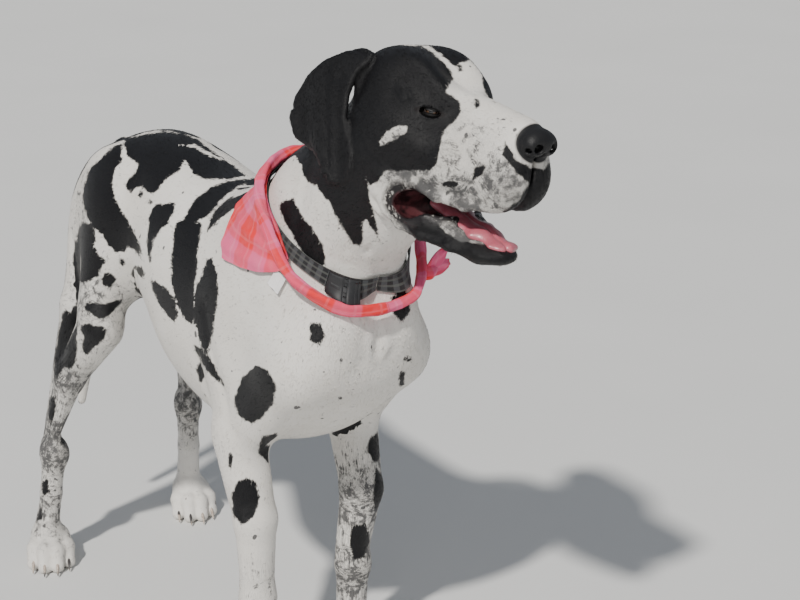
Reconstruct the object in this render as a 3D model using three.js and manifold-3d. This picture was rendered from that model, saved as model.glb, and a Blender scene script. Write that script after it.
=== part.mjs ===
// A great dane standing square and still with its head turned a little to its left and its mouth open,
// wearing a folded bandana with a blank tag and a webbing collar with a buckle.
// Millimetres, +Z up; the dog faces -Y and its own left is +X.
import * as THREE from 'three';
import { mergeVertices } from 'three/addons/utils/BufferGeometryUtils.js';
import Module from 'manifold-3d';

const wasm = await Module();
wasm.setup();
const { Manifold, Mesh } = wasm;

const GAP = 0.3;
const FLOOR = 0;

// Rounding, blending and the two basic rounds.

function smoothMin(a, b, k) {
  const h = Math.max(k - Math.abs(a - b), 0) / k;
  return Math.min(a, b) - h * h * k * 0.25;
}

const smoothMax = (a, b, k) => -smoothMin(-a, -b, k);

// A rod with round ends from point a to point b; the fourth number of each is its radius there.
function rod(a, b, squash = [1, 1, 1]) {
  const least = Math.min(...squash);
  const run = [0, 1, 2].map((i) => (b[i] - a[i]) / squash[i]);
  const drop = a[3] - b[3];
  const long2 = run[0] ** 2 + run[1] ** 2 + run[2] ** 2;
  const side2 = long2 - drop * drop;
  return (x, y, z) => {
    const px = (x - a[0]) / squash[0];
    const py = (y - a[1]) / squash[1];
    const pz = (z - a[2]) / squash[2];
    const along = px * run[0] + py * run[1] + pz * run[2];
    const past = along - long2;
    const qx = px * long2 - run[0] * along;
    const qy = py * long2 - run[1] * along;
    const qz = pz * long2 - run[2] * along;
    const off2 = qx * qx + qy * qy + qz * qz;
    const bend = Math.sign(drop) * drop * drop * off2;
    const startEnd = along * along * long2;
    const farEnd = past * past * long2;
    if (Math.sign(past) * side2 * farEnd > bend) return (Math.sqrt(off2 + farEnd) / long2 - b[3]) * least;
    if (Math.sign(along) * side2 * startEnd < bend) return (Math.sqrt(off2 + startEnd) / long2 - a[3]) * least;
    return ((Math.sqrt((off2 * side2) / long2) + along * drop) / long2 - a[3]) * least;
  };
}

// An egg with three radii, turned by degrees about x, then y, then z.
function egg(centre, radii, turn = [0, 0, 0]) {
  const matrix = new THREE.Matrix4().makeRotationFromEuler(
    new THREE.Euler(...turn.map(THREE.MathUtils.degToRad), 'ZYX'));
  const e = matrix.elements;
  return (x, y, z) => {
    const px = x - centre[0];
    const py = y - centre[1];
    const pz = z - centre[2];
    const ux = (e[0] * px + e[1] * py + e[2] * pz) / radii[0];
    const uy = (e[4] * px + e[5] * py + e[6] * pz) / radii[1];
    const uz = (e[8] * px + e[9] * py + e[10] * pz) / radii[2];
    const size = Math.hypot(ux, uy, uz);
    const slope = Math.hypot(ux / radii[0], uy / radii[1], uz / radii[2]);
    return slope < 1e-9 ? -Math.min(...radii) : (size * (size - 1)) / slope;
  };
}

function blend(parts, k) {
  return (x, y, z) => {
    let d = parts[0](x, y, z);
    for (let i = 1; i < parts.length; i++) d = smoothMin(d, parts[i](x, y, z), k);
    return d;
  };
}

// A limb through a list of [x, y, z, radius].
function chain(points, k, squash) {
  return blend(points.slice(1).map((p, i) => rod(points[i], p, squash)), k);
}

// Smooth values between rows of [place, value, value, ...].
function smoothTable(rows) {
  return (place) => {
    let i = 0;
    while (i < rows.length - 2 && place > rows[i + 1][0]) i++;
    const [p0, p1, p2, p3] = [rows[Math.max(0, i - 1)], rows[i], rows[i + 1], rows[Math.min(rows.length - 1, i + 2)]];
    const h = p2[0] - p1[0];
    const t = THREE.MathUtils.clamp((place - p1[0]) / h, 0, 1);
    return p1.slice(1).map((value, j) => {
      const next = p2[j + 1];
      const m1 = p0 === p1 ? (next - value) / h : (next - p0[j + 1]) / (p2[0] - p0[0]);
      const m2 = p3 === p2 ? (next - value) / h : (p3[j + 1] - value) / (p3[0] - p1[0]);
      return (2 * t ** 3 - 3 * t ** 2 + 1) * value + (t ** 3 - 2 * t ** 2 + t) * h * m1
        + (3 * t ** 2 - 2 * t ** 3) * next + (t ** 3 - t ** 2) * h * m2;
    });
  };
}

// Trunk, neck and tail.

// Rows of the trunk: y, height of the back, height of the belly, half width, level of the widest place.
const TRUNK = [
  [-392, 672, 612, 16, 0.5],
  [-380, 705, 572, 58, 0.5],
  [-356, 745, 530, 94, 0.5],
  [-300, 785, 475, 118, 0.5],
  [-220, 812, 432, 132, 0.48],
  [-140, 826, 410, 140, 0.46],
  [-40, 812, 412, 146, 0.46],
  [60, 818, 440, 141, 0.48],
  [150, 838, 492, 122, 0.52],
  [230, 848, 540, 106, 0.58],
  [310, 838, 570, 104, 0.62],
  [390, 796, 600, 88, 0.62],
  [440, 745, 640, 55, 0.55],
];
const trunkAt = smoothTable(TRUNK);
const ROUNDNESS = 2.25;

function trunk(x, y, z) {
  const along = THREE.MathUtils.clamp(y, TRUNK[0][0], TRUNK[TRUNK.length - 1][0]);
  const [top, bottom, half, level] = trunkAt(along);
  const middle = bottom + (top - bottom) * level;
  const tall = z > middle ? top - middle : middle - bottom;
  const wide = Math.abs(x) / half;
  const high = Math.abs(z - middle) / tall;
  const reach = (wide ** ROUNDNESS + high ** ROUNDNESS) ** (1 / ROUNDNESS);
  const d = reach < 1e-6 ? -Math.min(half, tall) : Math.hypot(x, z - middle) * (1 - 1 / reach);
  const beyond = Math.abs(y - along);
  return beyond > 0 ? Math.hypot(Math.max(d, 0), beyond) : Math.max(d * 0.92, -60);
}

// The two breast muscles, with a groove between them down the middle of the chest.
const breast = (x, y, z) => egg([46, -352, 640], [54, 46, 92], [14, 0, 0])(Math.abs(x), y, z);

const neck = chain([
  [0, -190, 715, 130], [4, -285, 815, 112], [12, -365, 890, 98], [20, -425, 950, 88], [26, -455, 990, 76],
], 40, [0.86, 1, 1]);

const tail = chain([
  [0, 400, 775, 34], [0, 455, 715, 29], [-6, 492, 620, 23], [-20, 510, 500, 18], [-40, 518, 380, 14], [-58, 528, 270, 9],
], 14);

// Legs.

const degrees = THREE.MathUtils.degToRad;

// Claws are kept here as [root, tip] pairs by the paw that grows them.
const CLAWS = { foreleg_right: [], foreleg_left: [], hindleg_right: [], hindleg_left: [] };
const TOE_ACROSS = [-0.74, -0.27, 0.27, 0.74];
const TOE_AHEAD = [18, 37, 37, 18];

function paw(name, x0, y0, half, turn) {
  const t = degrees(turn);
  const at = (across, ahead, z) => [
    x0 + across * Math.cos(t) + ahead * Math.sin(t), y0 + across * Math.sin(t) - ahead * Math.cos(t), z];
  const toes = TOE_ACROSS.map((k, i) => {
    const root = at(k * half * 0.62, TOE_AHEAD[i] - 34, 44);
    const knuckle = at(k * half * 0.9, TOE_AHEAD[i], 35);
    const tip = at(k * half, TOE_AHEAD[i] + 18, 12.5);
    CLAWS[name].push([at(k * half * 1.02, TOE_AHEAD[i] + 22, 19), at(k * half * 1.06, TOE_AHEAD[i] + 44, 5)]);
    return blend([rod([...root, 17], [...knuckle, 16]), rod([...knuckle, 16], [...tip, 14])], 7);
  });
  const pad = egg(at(0, -6, 24), [half * 0.84, 38, 26], [0, 0, turn]);
  const instep = egg(at(0, -8, 46), [half * 0.7, 32, 27], [0, 0, turn]);
  return blend([blend(toes, 4), pad, instep], 11);
}

// side is -1 for the dog's right and 1 for its left; elbow, knee, wrist and foot are [outwards, y, z].
function foreleg(name, side, elbow, knee, wrist, foot, turn) {
  const at = (p, r) => [side * p[0], p[1], p[2], r];
  const shoulder = blend([
    rod(at([68, -215, 770], 50), at([96, -308, 600], 52), [0.72, 1, 1]),
    rod(at([98, -306, 592], 50), at([110, -185, 462], 46), [0.8, 1, 1]),
    rod(at([92, -150, 660], 64), at([112, -140, 470], 36), [0.66, 1, 1]),
  ], 40);
  const arm = blend([
    chain([at(elbow, 44), at(knee, 36), at([wrist[0], wrist[1], wrist[2] + 28], 29.5)], 12),
    egg([side * wrist[0], wrist[1] - 2, wrist[2]], [31, 30, 32]),
    chain([at([wrist[0], wrist[1], wrist[2] - 10], 28), at([foot[0], foot[1] + 22, 62], 27)], 10),
    egg([side * elbow[0], elbow[1] + 24, elbow[2] + 4], [24, 26, 30]),
  ], 16);
  return blend([shoulder, arm, paw(name, side * foot[0], foot[1], 47, turn)], 20);
}

// stifle, shin, hock and foot are [outwards, y, z]
function hindleg(name, side, stifle, shin, hock, foot, turn) {
  const at = (p, r) => [side * p[0], p[1], p[2], r];
  const move = (p, dx, dy, dz) => [p[0] + dx, p[1] + dy, p[2] + dz];
  const thigh = blend([
    egg([side * 76, 318, 668], [52, 116, 146], [18, 0, 0]),
    rod(at([82, 270, 690], 78), at(move(stifle, -8, 18, 30), 50), [0.76, 1, 1]),
    rod(at([64, 400, 680], 56), at(move(stifle, -12, 120, 10), 36), [0.7, 1, 1]),
  ], 36);
  const shank = blend([
    chain([at(stifle, 48), at(shin, 31), at(move(hock, 2, -8, 46), 19)], 14, [0.82, 1, 1]),
    rod(at(move(stifle, -4, 110, -4), 34), at(move(hock, 0, 26, 26), 9), [0.8, 1, 1]),
    rod(at(move(hock, 0, 28, 2), 13), at(move(hock, 0, 2, -14), 20)),
    egg([side * hock[0], hock[1] - 4, hock[2]], [23, 27, 28]),
  ], 18);
  const middle = [(hock[0] + foot[0]) / 2, (hock[1] + foot[1]) / 2 + 6, 140];
  const rear = chain([at(move(hock, 0, 4, -14), 24), at(middle, 22), at([foot[0], foot[1] + 14, 58], 25)], 8, [0.92, 1.1, 1]);
  return blend([thigh, shank, rear, paw(name, side * foot[0], foot[1], 43, turn)], 18);
}

const foreRight = foreleg('foreleg_right', -1, [112, -165, 440], [111, -205, 310], [110, -205, 172], [114, -228, 0], -8);
const foreLeft = foreleg('foreleg_left', 1, [104, -165, 440], [97, -205, 310], [88, -190, 172], [86, -208, 0], -8);
const hindRight = hindleg('hindleg_right', -1, [134, 268, 512], [150, 372, 390], [168, 424, 230], [182, 436, 0], -26);
const hindLeft = hindleg('hindleg_left', 1, [122, 300, 512], [140, 412, 390], [152, 486, 234], [148, 478, 0], -22);

// Head, in its own frame: forward, left, up from the middle of the skull.

const HEAD = { at: [37, -494, 1008], heading: 5, down: 2.1, roll: -6.5, scale: 1.06 };

const headAxes = (() => {
  const [h, p, r] = [degrees(HEAD.heading), degrees(HEAD.down), degrees(HEAD.roll)];
  const forward = new THREE.Vector3(Math.sin(h) * Math.cos(p), -Math.cos(h) * Math.cos(p), -Math.sin(p));
  const level = new THREE.Vector3(Math.cos(h), Math.sin(h), 0);
  const rise = new THREE.Vector3().crossVectors(forward, level);
  const left = level.clone().multiplyScalar(Math.cos(r)).addScaledVector(rise, Math.sin(r));
  const up = rise.clone().multiplyScalar(Math.cos(r)).addScaledVector(level, -Math.sin(r));
  return [forward, left, up];
})();
const headMatrix = new THREE.Matrix4().makeBasis(...headAxes).scale(new THREE.Vector3(1, 1, 1).multiplyScalar(HEAD.scale))
  .setPosition(...HEAD.at);

function inHead(field) {
  const [f, l, u] = headAxes;
  const s = HEAD.scale;
  return (x, y, z) => {
    const px = (x - HEAD.at[0]) / s;
    const py = (y - HEAD.at[1]) / s;
    const pz = (z - HEAD.at[2]) / s;
    return s * field(px * f.x + py * f.y + pz * f.z, px * l.x + py * l.y + pz * l.z, px * u.x + py * u.y + pz * u.z);
  };
}

const EYE = { at: [34, 42, 16], radius: 12.5 };

const cranium = blend([
  egg([-58, 0, 28], [84, 66, 57]),
  egg([-32, 38, 44], [62, 32, 40]),
  egg([24, 34, 30], [34, 26, 25]),
  egg([-18, 46, -16], [68, 32, 46]),
], 26);
const muzzle = blend([
  rod([40, 0, 4, 41], [157, 0, -2, 33]),
  rod([62, 0, 18, 21], [178, 0, 8, 18]),
  egg([114, 26, -46], [76, 26, 54]),
  egg([48, 42, -52], [62, 22, 46]),
  egg([152, 14, -44], [42, 27, 48]),
], 20);
const nosePad = blend([egg([192, 0, 6], [20, 25, 20]), egg([194, 15, 2], [14, 12, 14])], 8);
const jaw = blend([
  rod([-60, 44, -56, 28], [40, 34, -130, 20]),
  rod([40, 32, -132, 20], [126, 18, -154, 15]),
  egg([140, 0, -155], [31, 32, 15]),
  rod([-30, 8, -86, 42], [90, 6, -144, 19]),
  rod([-20, 50, -104, 14], [18, 44, -132, 13]),
], 16);
const mouthCavity = blend([
  egg([96, 0, -104], [84, 34, 20], [0, 16, 0]),
  egg([24, 20, -100], [50, 34, 17], [0, 20, 0]),
  egg([16, 34, -112], [34, 34, 24]),
], 10);
// The rolled edge of the lips, from the front of the upper lip round the corner to the chin.
const lips = chain([
  [160, 24, -84, 8], [120, 46, -91, 8], [70, 52, -90, 8], [22, 56, -81, 8], [-14, 57, -86, 8], [-27, 55, -107, 7],
  [-19, 53, -131, 7], [4, 50, -145, 7], [42, 46, -151, 7], [92, 38, -154, 7], [128, 22, -160, 7],
], 8);
const lidRound = egg(EYE.at, [20, 17.5, 15.5], [0, 0, 32]);

// What is cut into the head with a sharp edge, as eggs on the dog's left side; each is cut on both sides.
const LID_SLIT = { centre: [EYE.at[0] + 7, EYE.at[1] + 11, EYE.at[2]], radii: [19, 18, 2.9], turn: [0, 8, 32] };
const NOSTRILS = [
  { centre: [208, 13, 1], radii: [13, 5.5, 5], turn: [0, 0, 25] },
  { centre: [199, 24, -3], radii: [11, 4, 2.6], turn: [0, 0, 60] },
];
const cheekFold = egg([-24, 66, -66], [34, 9, 3.2], [0, -8, 4]);

function headFlesh(a, side, c) {
  const b = Math.abs(side);
  let d = smoothMin(cranium(a, b, c), muzzle(a, b, c), 24);
  d = smoothMin(d, lidRound(a, b, c), 7);
  d = smoothMin(d, nosePad(a, b, c), 5);
  d = smoothMin(d, jaw(a, b, c), 10);
  d = smoothMax(d, -mouthCavity(a, b, c), 5);
  d = smoothMin(d, lips(a, b, c), 5);
  return smoothMax(d, -cheekFold(a, b, c), 5);
}
const head = inHead(headFlesh);

// The ear's outline seen from the side of the head: [forward, up].
const EAR_OUTLINE = [
  [-68, 74], [-92, 82], [-122, 72], [-154, 53], [-182, 26], [-202, -8], [-207, -42], [-192, -70], [-162, -83],
  [-134, -88], [-120, -104], [-104, -116], [-84, -116], [-68, -104], [-61, -84], [-62, -60], [-74, -40], [-86, -18],
  [-88, 10], [-80, 40], [-66, 60],
];
const EAR_THICK = 7;

function outlineDistance(outline, u, v) {
  let best = Infinity;
  let inside = false;
  for (let i = 0, j = outline.length - 1; i < outline.length; j = i++) {
    const [ax, ay] = outline[j];
    const [bx, by] = outline[i];
    const t = THREE.MathUtils.clamp(((u - ax) * (bx - ax) + (v - ay) * (by - ay)) / ((bx - ax) ** 2 + (by - ay) ** 2), 0, 1);
    best = Math.min(best, Math.hypot(u - ax - t * (bx - ax), v - ay - t * (by - ay)));
    if ((ay > v) !== (by > v) && u < ((bx - ax) * (v - ay)) / (by - ay) + ax) inside = !inside;
  }
  return inside ? -best : best;
}

// How far out from the middle of the head the ear hangs, with its long folds.
function earLayer(a, c) {
  const fallen = THREE.MathUtils.clamp((70 - c) / 180, 0, 1);
  const back = THREE.MathUtils.clamp((-80 - a) / 110, 0, 1);
  const folds = 5 * Math.sin((a + 0.25 * c) / 13) * fallen;
  return 62 + 40 * Math.sqrt(fallen) - 12 * fallen + 10 * back * (1 - fallen) + folds;
}

function earFlesh(a, b, c) {
  const flap = Math.abs(b - earLayer(a, c)) * 0.85 - EAR_THICK / 2;
  const d = smoothMax(outlineDistance(EAR_OUTLINE, a, c) + 3, flap, 6);
  const root = rod([-84, 54, 52, 17], [-112, 62, 44, 14])(a, b, c);
  const cup = egg([-76, 70, 34], [11, 9, 20], [0, 20, 0])(a, b, c);
  return smoothMax(smoothMin(d, root, 12), -cup, 4);
}
const earRight = inHead((a, b, c) => earFlesh(a, -b, c));
const earLeft = inHead(earFlesh);

const tongueFlesh = blend([
  rod([30, 0, -112, 17], [110, 0, -134, 17], [1, 1.5, 0.5]),
  rod([110, 0, -134, 17], [158, 2, -144, 14], [1, 1.5, 0.5]),
], 12);
const tongue = inHead(tongueFlesh);

function flesh(x, y, z) {
  let d = smoothMin(smoothMin(trunk(x, y, z), breast(x, y, z), 26), neck(x, y, z), 60);
  if (z < 900) {
    d = smoothMin(d, smoothMin(foreRight(x, y, z), foreLeft(x, y, z), 8), 36);
    d = smoothMin(d, smoothMin(hindRight(x, y, z), hindLeft(x, y, z), 20), 38);
    d = smoothMin(d, tail(x, y, z), 22);
  }
  return z > 700 ? smoothMin(d, head(x, y, z), 30) : d;
}

// From a field to a closed surface of triangles.

// Grid lines from low to high, close together between fineLow and fineHigh.
function gridLines(low, high, step, fineLow = Infinity, fineHigh = Infinity, fineStep = step) {
  const lines = [low];
  while (lines[lines.length - 1] < high) {
    const last = lines[lines.length - 1];
    const away = Math.max(fineLow - last, last - fineHigh, 0);
    lines.push(last + Math.min(step, fineStep + 0.25 * away));
  }
  return lines;
}

// The field at every crossing of the grid; far from the surface one value serves a block of four lines.
function sampleGrid(field, xs, ys, zs) {
  const block = 4;
  const value = new Float32Array(xs.length * ys.length * zs.length);
  for (let k = 0; k < zs.length; k += block) {
    for (let j = 0; j < ys.length; j += block) {
      for (let i = 0; i < xs.length; i += block) {
        const [i1, j1, k1] = [[xs, i], [ys, j], [zs, k]].map(([lines, n]) => Math.min(n + block, lines.length - 1));
        const reach = Math.hypot(xs[i1] - xs[i], ys[j1] - ys[j], zs[k1] - zs[k]) / 2;
        const middle = field((xs[i] + xs[i1]) / 2, (ys[j] + ys[j1]) / 2, (zs[k] + zs[k1]) / 2);
        const far = Math.abs(middle) > reach * 1.8 + 12;
        for (let c = k; c < Math.min(k + block, zs.length); c++) {
          for (let b = j; b < Math.min(j + block, ys.length); b++) {
            for (let a = i; a < Math.min(i + block, xs.length); a++) {
              value[(c * ys.length + b) * xs.length + a] = far ? middle : field(xs[a], ys[b], zs[c]);
            }
          }
        }
      }
    }
  }
  return value;
}

// The twelve edges of a grid cell, each as its two corners; a corner is a number of three bits, x first.
const CELL_EDGES = [0, 1, 2, 3, 4, 5, 6, 7].flatMap((c) => [1, 2, 4].filter((bit) => !(c & bit)).map((bit) => [c, c | bit]));
const CELL_FACES = [[1, 0], [1, 1], [2, 0], [2, 1], [4, 0], [4, 1]].map(([bit, side]) =>
  CELL_EDGES.map((edge, n) => n).filter((n) => CELL_EDGES[n].every((c) => ((c & bit) > 0) === (side === 1))));
// Which of the four places round a grid edge a cell takes, by the two sides it lies on.
const PLACE_ROUND = { 1: [0, 1, 3, 2], 2: [0, 3, 1, 2], 4: [0, 1, 3, 2] };

// The crossed edges of a cell, gathered into the closed loops in which the surface cuts its sides.
function loopsOf(inside) {
  const crossed = CELL_EDGES.map(([a, b]) => inside[a] !== inside[b]);
  const group = CELL_EDGES.map((_, n) => n);
  const find = (n) => (group[n] === n ? n : find(group[n]));
  const join = (a, b) => { group[find(a)] = find(b); };
  for (const face of CELL_FACES) {
    const cuts = face.filter((n) => crossed[n]);
    if (cuts.length === 2) join(cuts[0], cuts[1]);
    if (cuts.length !== 4) continue;
    const inner = (n) => CELL_EDGES[n].find((c) => inside[c]);
    for (const n of cuts) for (const m of cuts) if (n < m && inner(n) === inner(m)) join(n, m);
  }
  const loops = new Map();
  crossed.forEach((cut, n) => {
    if (!cut) return;
    const root = find(n);
    loops.set(root, [...(loops.get(root) ?? []), n]);
  });
  return [...loops.values()];
}

// One point for every loop of the surface in every cell, and four-sided faces round the crossed grid edges.
function surfaceOf(field, xs, ys, zs) {
  const [nx, ny, nz] = [xs.length, ys.length, zs.length];
  const value = sampleGrid(field, xs, ys, zs);
  const at = (i, j, k) => (k * ny + j) * nx + i;
  const points = [];
  const rounds = new Map();
  for (let k = 0; k < nz - 1; k++) {
    for (let j = 0; j < ny - 1; j++) {
      for (let i = 0; i < nx - 1; i++) {
        const values = [0, 1, 2, 3, 4, 5, 6, 7].map((c) => value[at(i + (c & 1), j + ((c >> 1) & 1), k + (c >> 2))]);
        const inside = values.map((v) => v < 0);
        if (inside.every((v) => v === inside[0])) continue;
        for (const loop of loopsOf(inside)) {
          const sum = [0, 0, 0];
          for (const n of loop) {
            const [c, e] = CELL_EDGES[n];
            const t = values[c] / (values[c] - values[e]);
            const bit = c ^ e;
            const start = [i + (c & 1), j + ((c >> 1) & 1), k + (c >> 2)];
            [xs, ys, zs].forEach((lines, axis) => {
              const ahead = bit === 1 << axis ? t * (lines[start[axis] + 1] - lines[start[axis]]) : 0;
              sum[axis] += (lines[start[axis]] + ahead) / loop.length;
            });
            const key = at(...start) * 3 + Math.log2(bit);
            if (!rounds.has(key)) rounds.set(key, { corners: [-1, -1, -1, -1], inside: inside[c] });
            const sides = [1, 2, 4].filter((side) => side !== bit).map((side) => ((c & side) ? 0 : 1));
            rounds.get(key).corners[PLACE_ROUND[bit][sides[0] + 2 * sides[1]]] = points.length;
          }
          points.push(sum);
        }
      }
    }
  }
  return { points, faces: [...rounds.values()].flatMap((round) => splitQuad(points, round)) };
}

function splitQuad(points, { corners, inside }) {
  const span = (p, q) => Math.hypot(...points[p].map((v, n) => v - points[q][n]));
  const [a, b, c, d] = inside ? corners : [corners[0], corners[3], corners[2], corners[1]];
  return span(a, c) < span(b, d) ? [[a, b, c], [a, c, d]] : [[a, b, d], [b, c, d]];
}

// Fewer triangles: the cheapest edge is closed up again and again.

function planeOf(points, [a, b, c]) {
  const [p, q, r] = [points[a], points[b], points[c]];
  const u = [q[0] - p[0], q[1] - p[1], q[2] - p[2]];
  const v = [r[0] - p[0], r[1] - p[1], r[2] - p[2]];
  const n = [u[1] * v[2] - u[2] * v[1], u[2] * v[0] - u[0] * v[2], u[0] * v[1] - u[1] * v[0]];
  const size = Math.hypot(...n) || 1e-12;
  const unit = n.map((w) => w / size);
  return { unit, size, away: -(unit[0] * p[0] + unit[1] * p[1] + unit[2] * p[2]) };
}

// The sum of squared distances to a set of planes, as ten numbers.
const errorAt = (q, [x, y, z]) => q[0] * x * x + q[4] * y * y + q[7] * z * z + q[9]
  + 2 * (q[1] * x * y + q[2] * x * z + q[3] * x + q[5] * y * z + q[6] * y + q[8] * z);

function planeError({ unit: [a, b, c], away: d }, weight) {
  return [a * a, a * b, a * c, a * d, b * b, b * c, b * d, c * c, c * d, d * d].map((v) => v * weight);
}

// A heap of candidates, the cheapest first.
class Heap {
  constructor() { this.items = []; }
  push(item) {
    const list = this.items;
    let i = list.push(item) - 1;
    while (i > 0 && list[(i - 1) >> 1].cost > item.cost) {
      list[i] = list[(i - 1) >> 1];
      i = (i - 1) >> 1;
    }
    list[i] = item;
  }
  pop() {
    const list = this.items;
    const first = list[0];
    const last = list.pop();
    if (list.length === 0) return first;
    let i = 0;
    for (;;) {
      let child = 2 * i + 1;
      if (child >= list.length) break;
      if (child + 1 < list.length && list[child + 1].cost < list[child].cost) child++;
      if (list[child].cost >= last.cost) break;
      list[i] = list[child];
      i = child;
    }
    list[i] = last;
    return first;
  }
}

function simplify({ points, faces }, target, importance) {
  const errors = points.map(() => new Array(10).fill(0));
  const around = points.map(() => new Set());
  faces.forEach((face, n) => {
    const plane = planeOf(points, face);
    const share = planeError(plane, plane.size * importance(points[face[0]]));
    for (const v of face) {
      around[v].add(n);
      share.forEach((w, i) => { errors[v][i] += w; });
    }
  });
  const version = new Int32Array(points.length);
  const heap = new Heap();
  const offer = (a, b) => {
    const total = errors[a].map((w, i) => w + errors[b][i]);
    const middle = points[a].map((w, i) => (w + points[b][i]) / 2);
    const choices = [middle, points[a], points[b]].map((place) => ({ place, cost: errorAt(total, place) }));
    const best = choices.reduce((x, y) => (y.cost < x.cost ? y : x));
    const spread = 2e-4 * importance(middle) * Math.hypot(...points[a].map((w, i) => w - points[b][i])) ** 4;
    heap.push({ a, b, place: best.place, cost: best.cost + spread, stamp: version[a] + version[b] * 4096 });
  };
  const ring = (v) => {
    const out = new Set();
    for (const n of around[v]) for (const w of faces[n]) if (w !== v) out.add(w);
    return out;
  };
  const flips = (v, other, place) => {
    for (const n of around[v]) {
      if (faces[n].includes(other)) continue;
      const before = planeOf(points, faces[n]);
      const kept = points[v];
      points[v] = place;
      const after = planeOf(points, faces[n]);
      points[v] = kept;
      const turn = before.unit[0] * after.unit[0] + before.unit[1] * after.unit[1] + before.unit[2] * after.unit[2];
      if (turn < 0.35 || after.size < 1e-3 * before.size) return true;
    }
    return false;
  };
  points.forEach((_, v) => { for (const w of ring(v)) if (v < w) offer(v, w); });
  let left = faces.length;
  while (left > target && heap.items.length > 0) {
    const { a, b, place, stamp } = heap.pop();
    if (stamp !== version[a] + version[b] * 4096 || !around[a].size || !around[b].size) continue;
    const [ringA, ringB] = [ring(a), ring(b)];
    if (!ringA.has(b)) continue;
    let shared = 0;
    for (const v of ringA) if (ringB.has(v)) shared++;
    if (shared !== 2 || flips(a, b, place) || flips(b, a, place)) continue;
    points[a] = place;
    errors[a] = errors[a].map((w, i) => w + errors[b][i]);
    for (const n of around[b]) {
      if (faces[n].includes(a)) {
        for (const v of faces[n]) around[v].delete(n);
        faces[n] = null;
        left -= 1;
      } else {
        faces[n] = faces[n].map((v) => (v === b ? a : v));
        around[a].add(n);
      }
    }
    around[b].clear();
    version[a] = (version[a] + 1) % 4096;
    version[b] = (version[b] + 1) % 4096;
    for (const v of ring(a)) offer(Math.min(a, v), Math.max(a, v));
  }
  return { points, faces: faces.filter(Boolean) };
}

// Slides every point back to the true surface, but never far.
function settle({ points, faces }, field) {
  const h = 0.4;
  const moved = points.map((p) => {
    let q = p;
    for (let pass = 0; pass < 2; pass++) {
      const d = field(...q);
      const slope = [0, 1, 2].map((i) => {
        const ahead = q.map((v, n) => v + (n === i ? h : 0));
        const behind = q.map((v, n) => v - (n === i ? h : 0));
        return (field(...ahead) - field(...behind)) / (2 * h);
      });
      const size2 = Math.max(slope[0] ** 2 + slope[1] ** 2 + slope[2] ** 2, 0.2);
      const step = THREE.MathUtils.clamp(d / size2, -1.5, 1.5);
      q = q.map((v, i) => v - step * slope[i]);
    }
    return q;
  });
  return { points: moved, faces };
}

// Closed bodies.

function toManifold({ points, faces }) {
  const used = new Map();
  const vertProperties = [];
  const triVerts = [];
  for (const face of faces) {
    for (const v of face) {
      if (!used.has(v)) {
        used.set(v, used.size);
        vertProperties.push(...points[v]);
      }
      triVerts.push(used.get(v));
    }
  }
  const mesh = new Mesh({ numProp: 3, vertProperties: new Float32Array(vertProperties), triVerts: new Uint32Array(triVerts) });
  mesh.merge();
  return new Manifold(mesh);
}

function solidOf(geometry) {
  const plain = geometry.clone();
  for (const name of Object.keys(plain.attributes)) if (name !== 'position') plain.deleteAttribute(name);
  const merged = mergeVertices(plain, 1e-3);
  const position = merged.attributes.position;
  const points = Array.from({ length: position.count }, (_, i) => [position.getX(i), position.getY(i), position.getZ(i)]);
  const index = merged.index.array;
  const faces = [];
  for (let i = 0; i < index.length; i += 3) {
    const face = [index[i], index[i + 1], index[i + 2]];
    if (new Set(face).size === 3) faces.push(face);
  }
  return toManifold({ points, faces });
}

const largest = (solid) => solid.decompose().reduce((a, b) => (b.volume() > a.volume() ? b : a));

function sculpt(field, box, step, target, fine, importance = () => 1) {
  const [xs, ys, zs] = [0, 1, 2].map((i) => gridLines(box[i][0], box[i][1], step, ...(fine ? fine[i] : [])));
  const rough = surfaceOf(field, xs, ys, zs);
  return largest(toManifold(settle(simplify(rough, target, importance), field)));
}

// Parting the whole into its pieces.

// A slab of space reaching from a plane point along a direction, used to part one piece from another.
function halfSpace(point, direction, grow) {
  const size = 1600;
  const geometry = new THREE.BoxGeometry(size, size, size);
  const turn = new THREE.Quaternion().setFromUnitVectors(new THREE.Vector3(0, 0, 1), new THREE.Vector3(...direction).normalize());
  geometry.translate(0, 0, size / 2 - grow);
  geometry.applyQuaternion(turn);
  geometry.translate(...point);
  return solidOf(geometry);
}

// A side-view outline of [y, z] pushed through from one x to another.
function sideBlock(outline, fromX, toX, grow) {
  const points = outline.map((p, i) => {
    const before = outline[(i + outline.length - 1) % outline.length];
    const after = outline[(i + 1) % outline.length];
    const normal = new THREE.Vector2(after[1] - before[1], before[0] - after[0]).normalize();
    return new THREE.Vector2(p[0] + normal.x * grow, p[1] + normal.y * grow);
  });
  const depth = toX - fromX + 2 * grow;
  const geometry = new THREE.ExtrudeGeometry(new THREE.Shape(points), { depth, bevelEnabled: false });
  geometry.applyMatrix4(new THREE.Matrix4().makeBasis(
    new THREE.Vector3(0, 1, 0), new THREE.Vector3(0, 0, 1), new THREE.Vector3(1, 0, 0)));
  geometry.translate(fromX - grow, 0, 0);
  return solidOf(geometry);
}

// Parts a piece off a body, leaving a thin gap; cutter(grow) gives the cutting shape grown by that much.
function partOff(body, cutter) {
  const piece = largest(body.intersect(cutter(-GAP / 2)));
  const rest = largest(body.subtract(cutter(GAP / 2)));
  return [piece, rest];
}

const FORELEG_SIDE = [[-268, 560], [-292, 500], [-270, 440], [-330, 200], [-330, -20], [-140, -20], [-110, 420], [-96, 500], [-100, 600], [-180, 640]];
const TAIL_SIDE = [[424, 800], [452, 690], [476, 600], [480, 420], [494, 220], [620, 220], [620, 600], [560, 800]];
const HINDLEG_SIDE = [[150, 600], [150, 520], [250, 300], [300, -20], [600, -20], [600, 400], [540, 640], [460, 700], [330, 740], [210, 700]];

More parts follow.
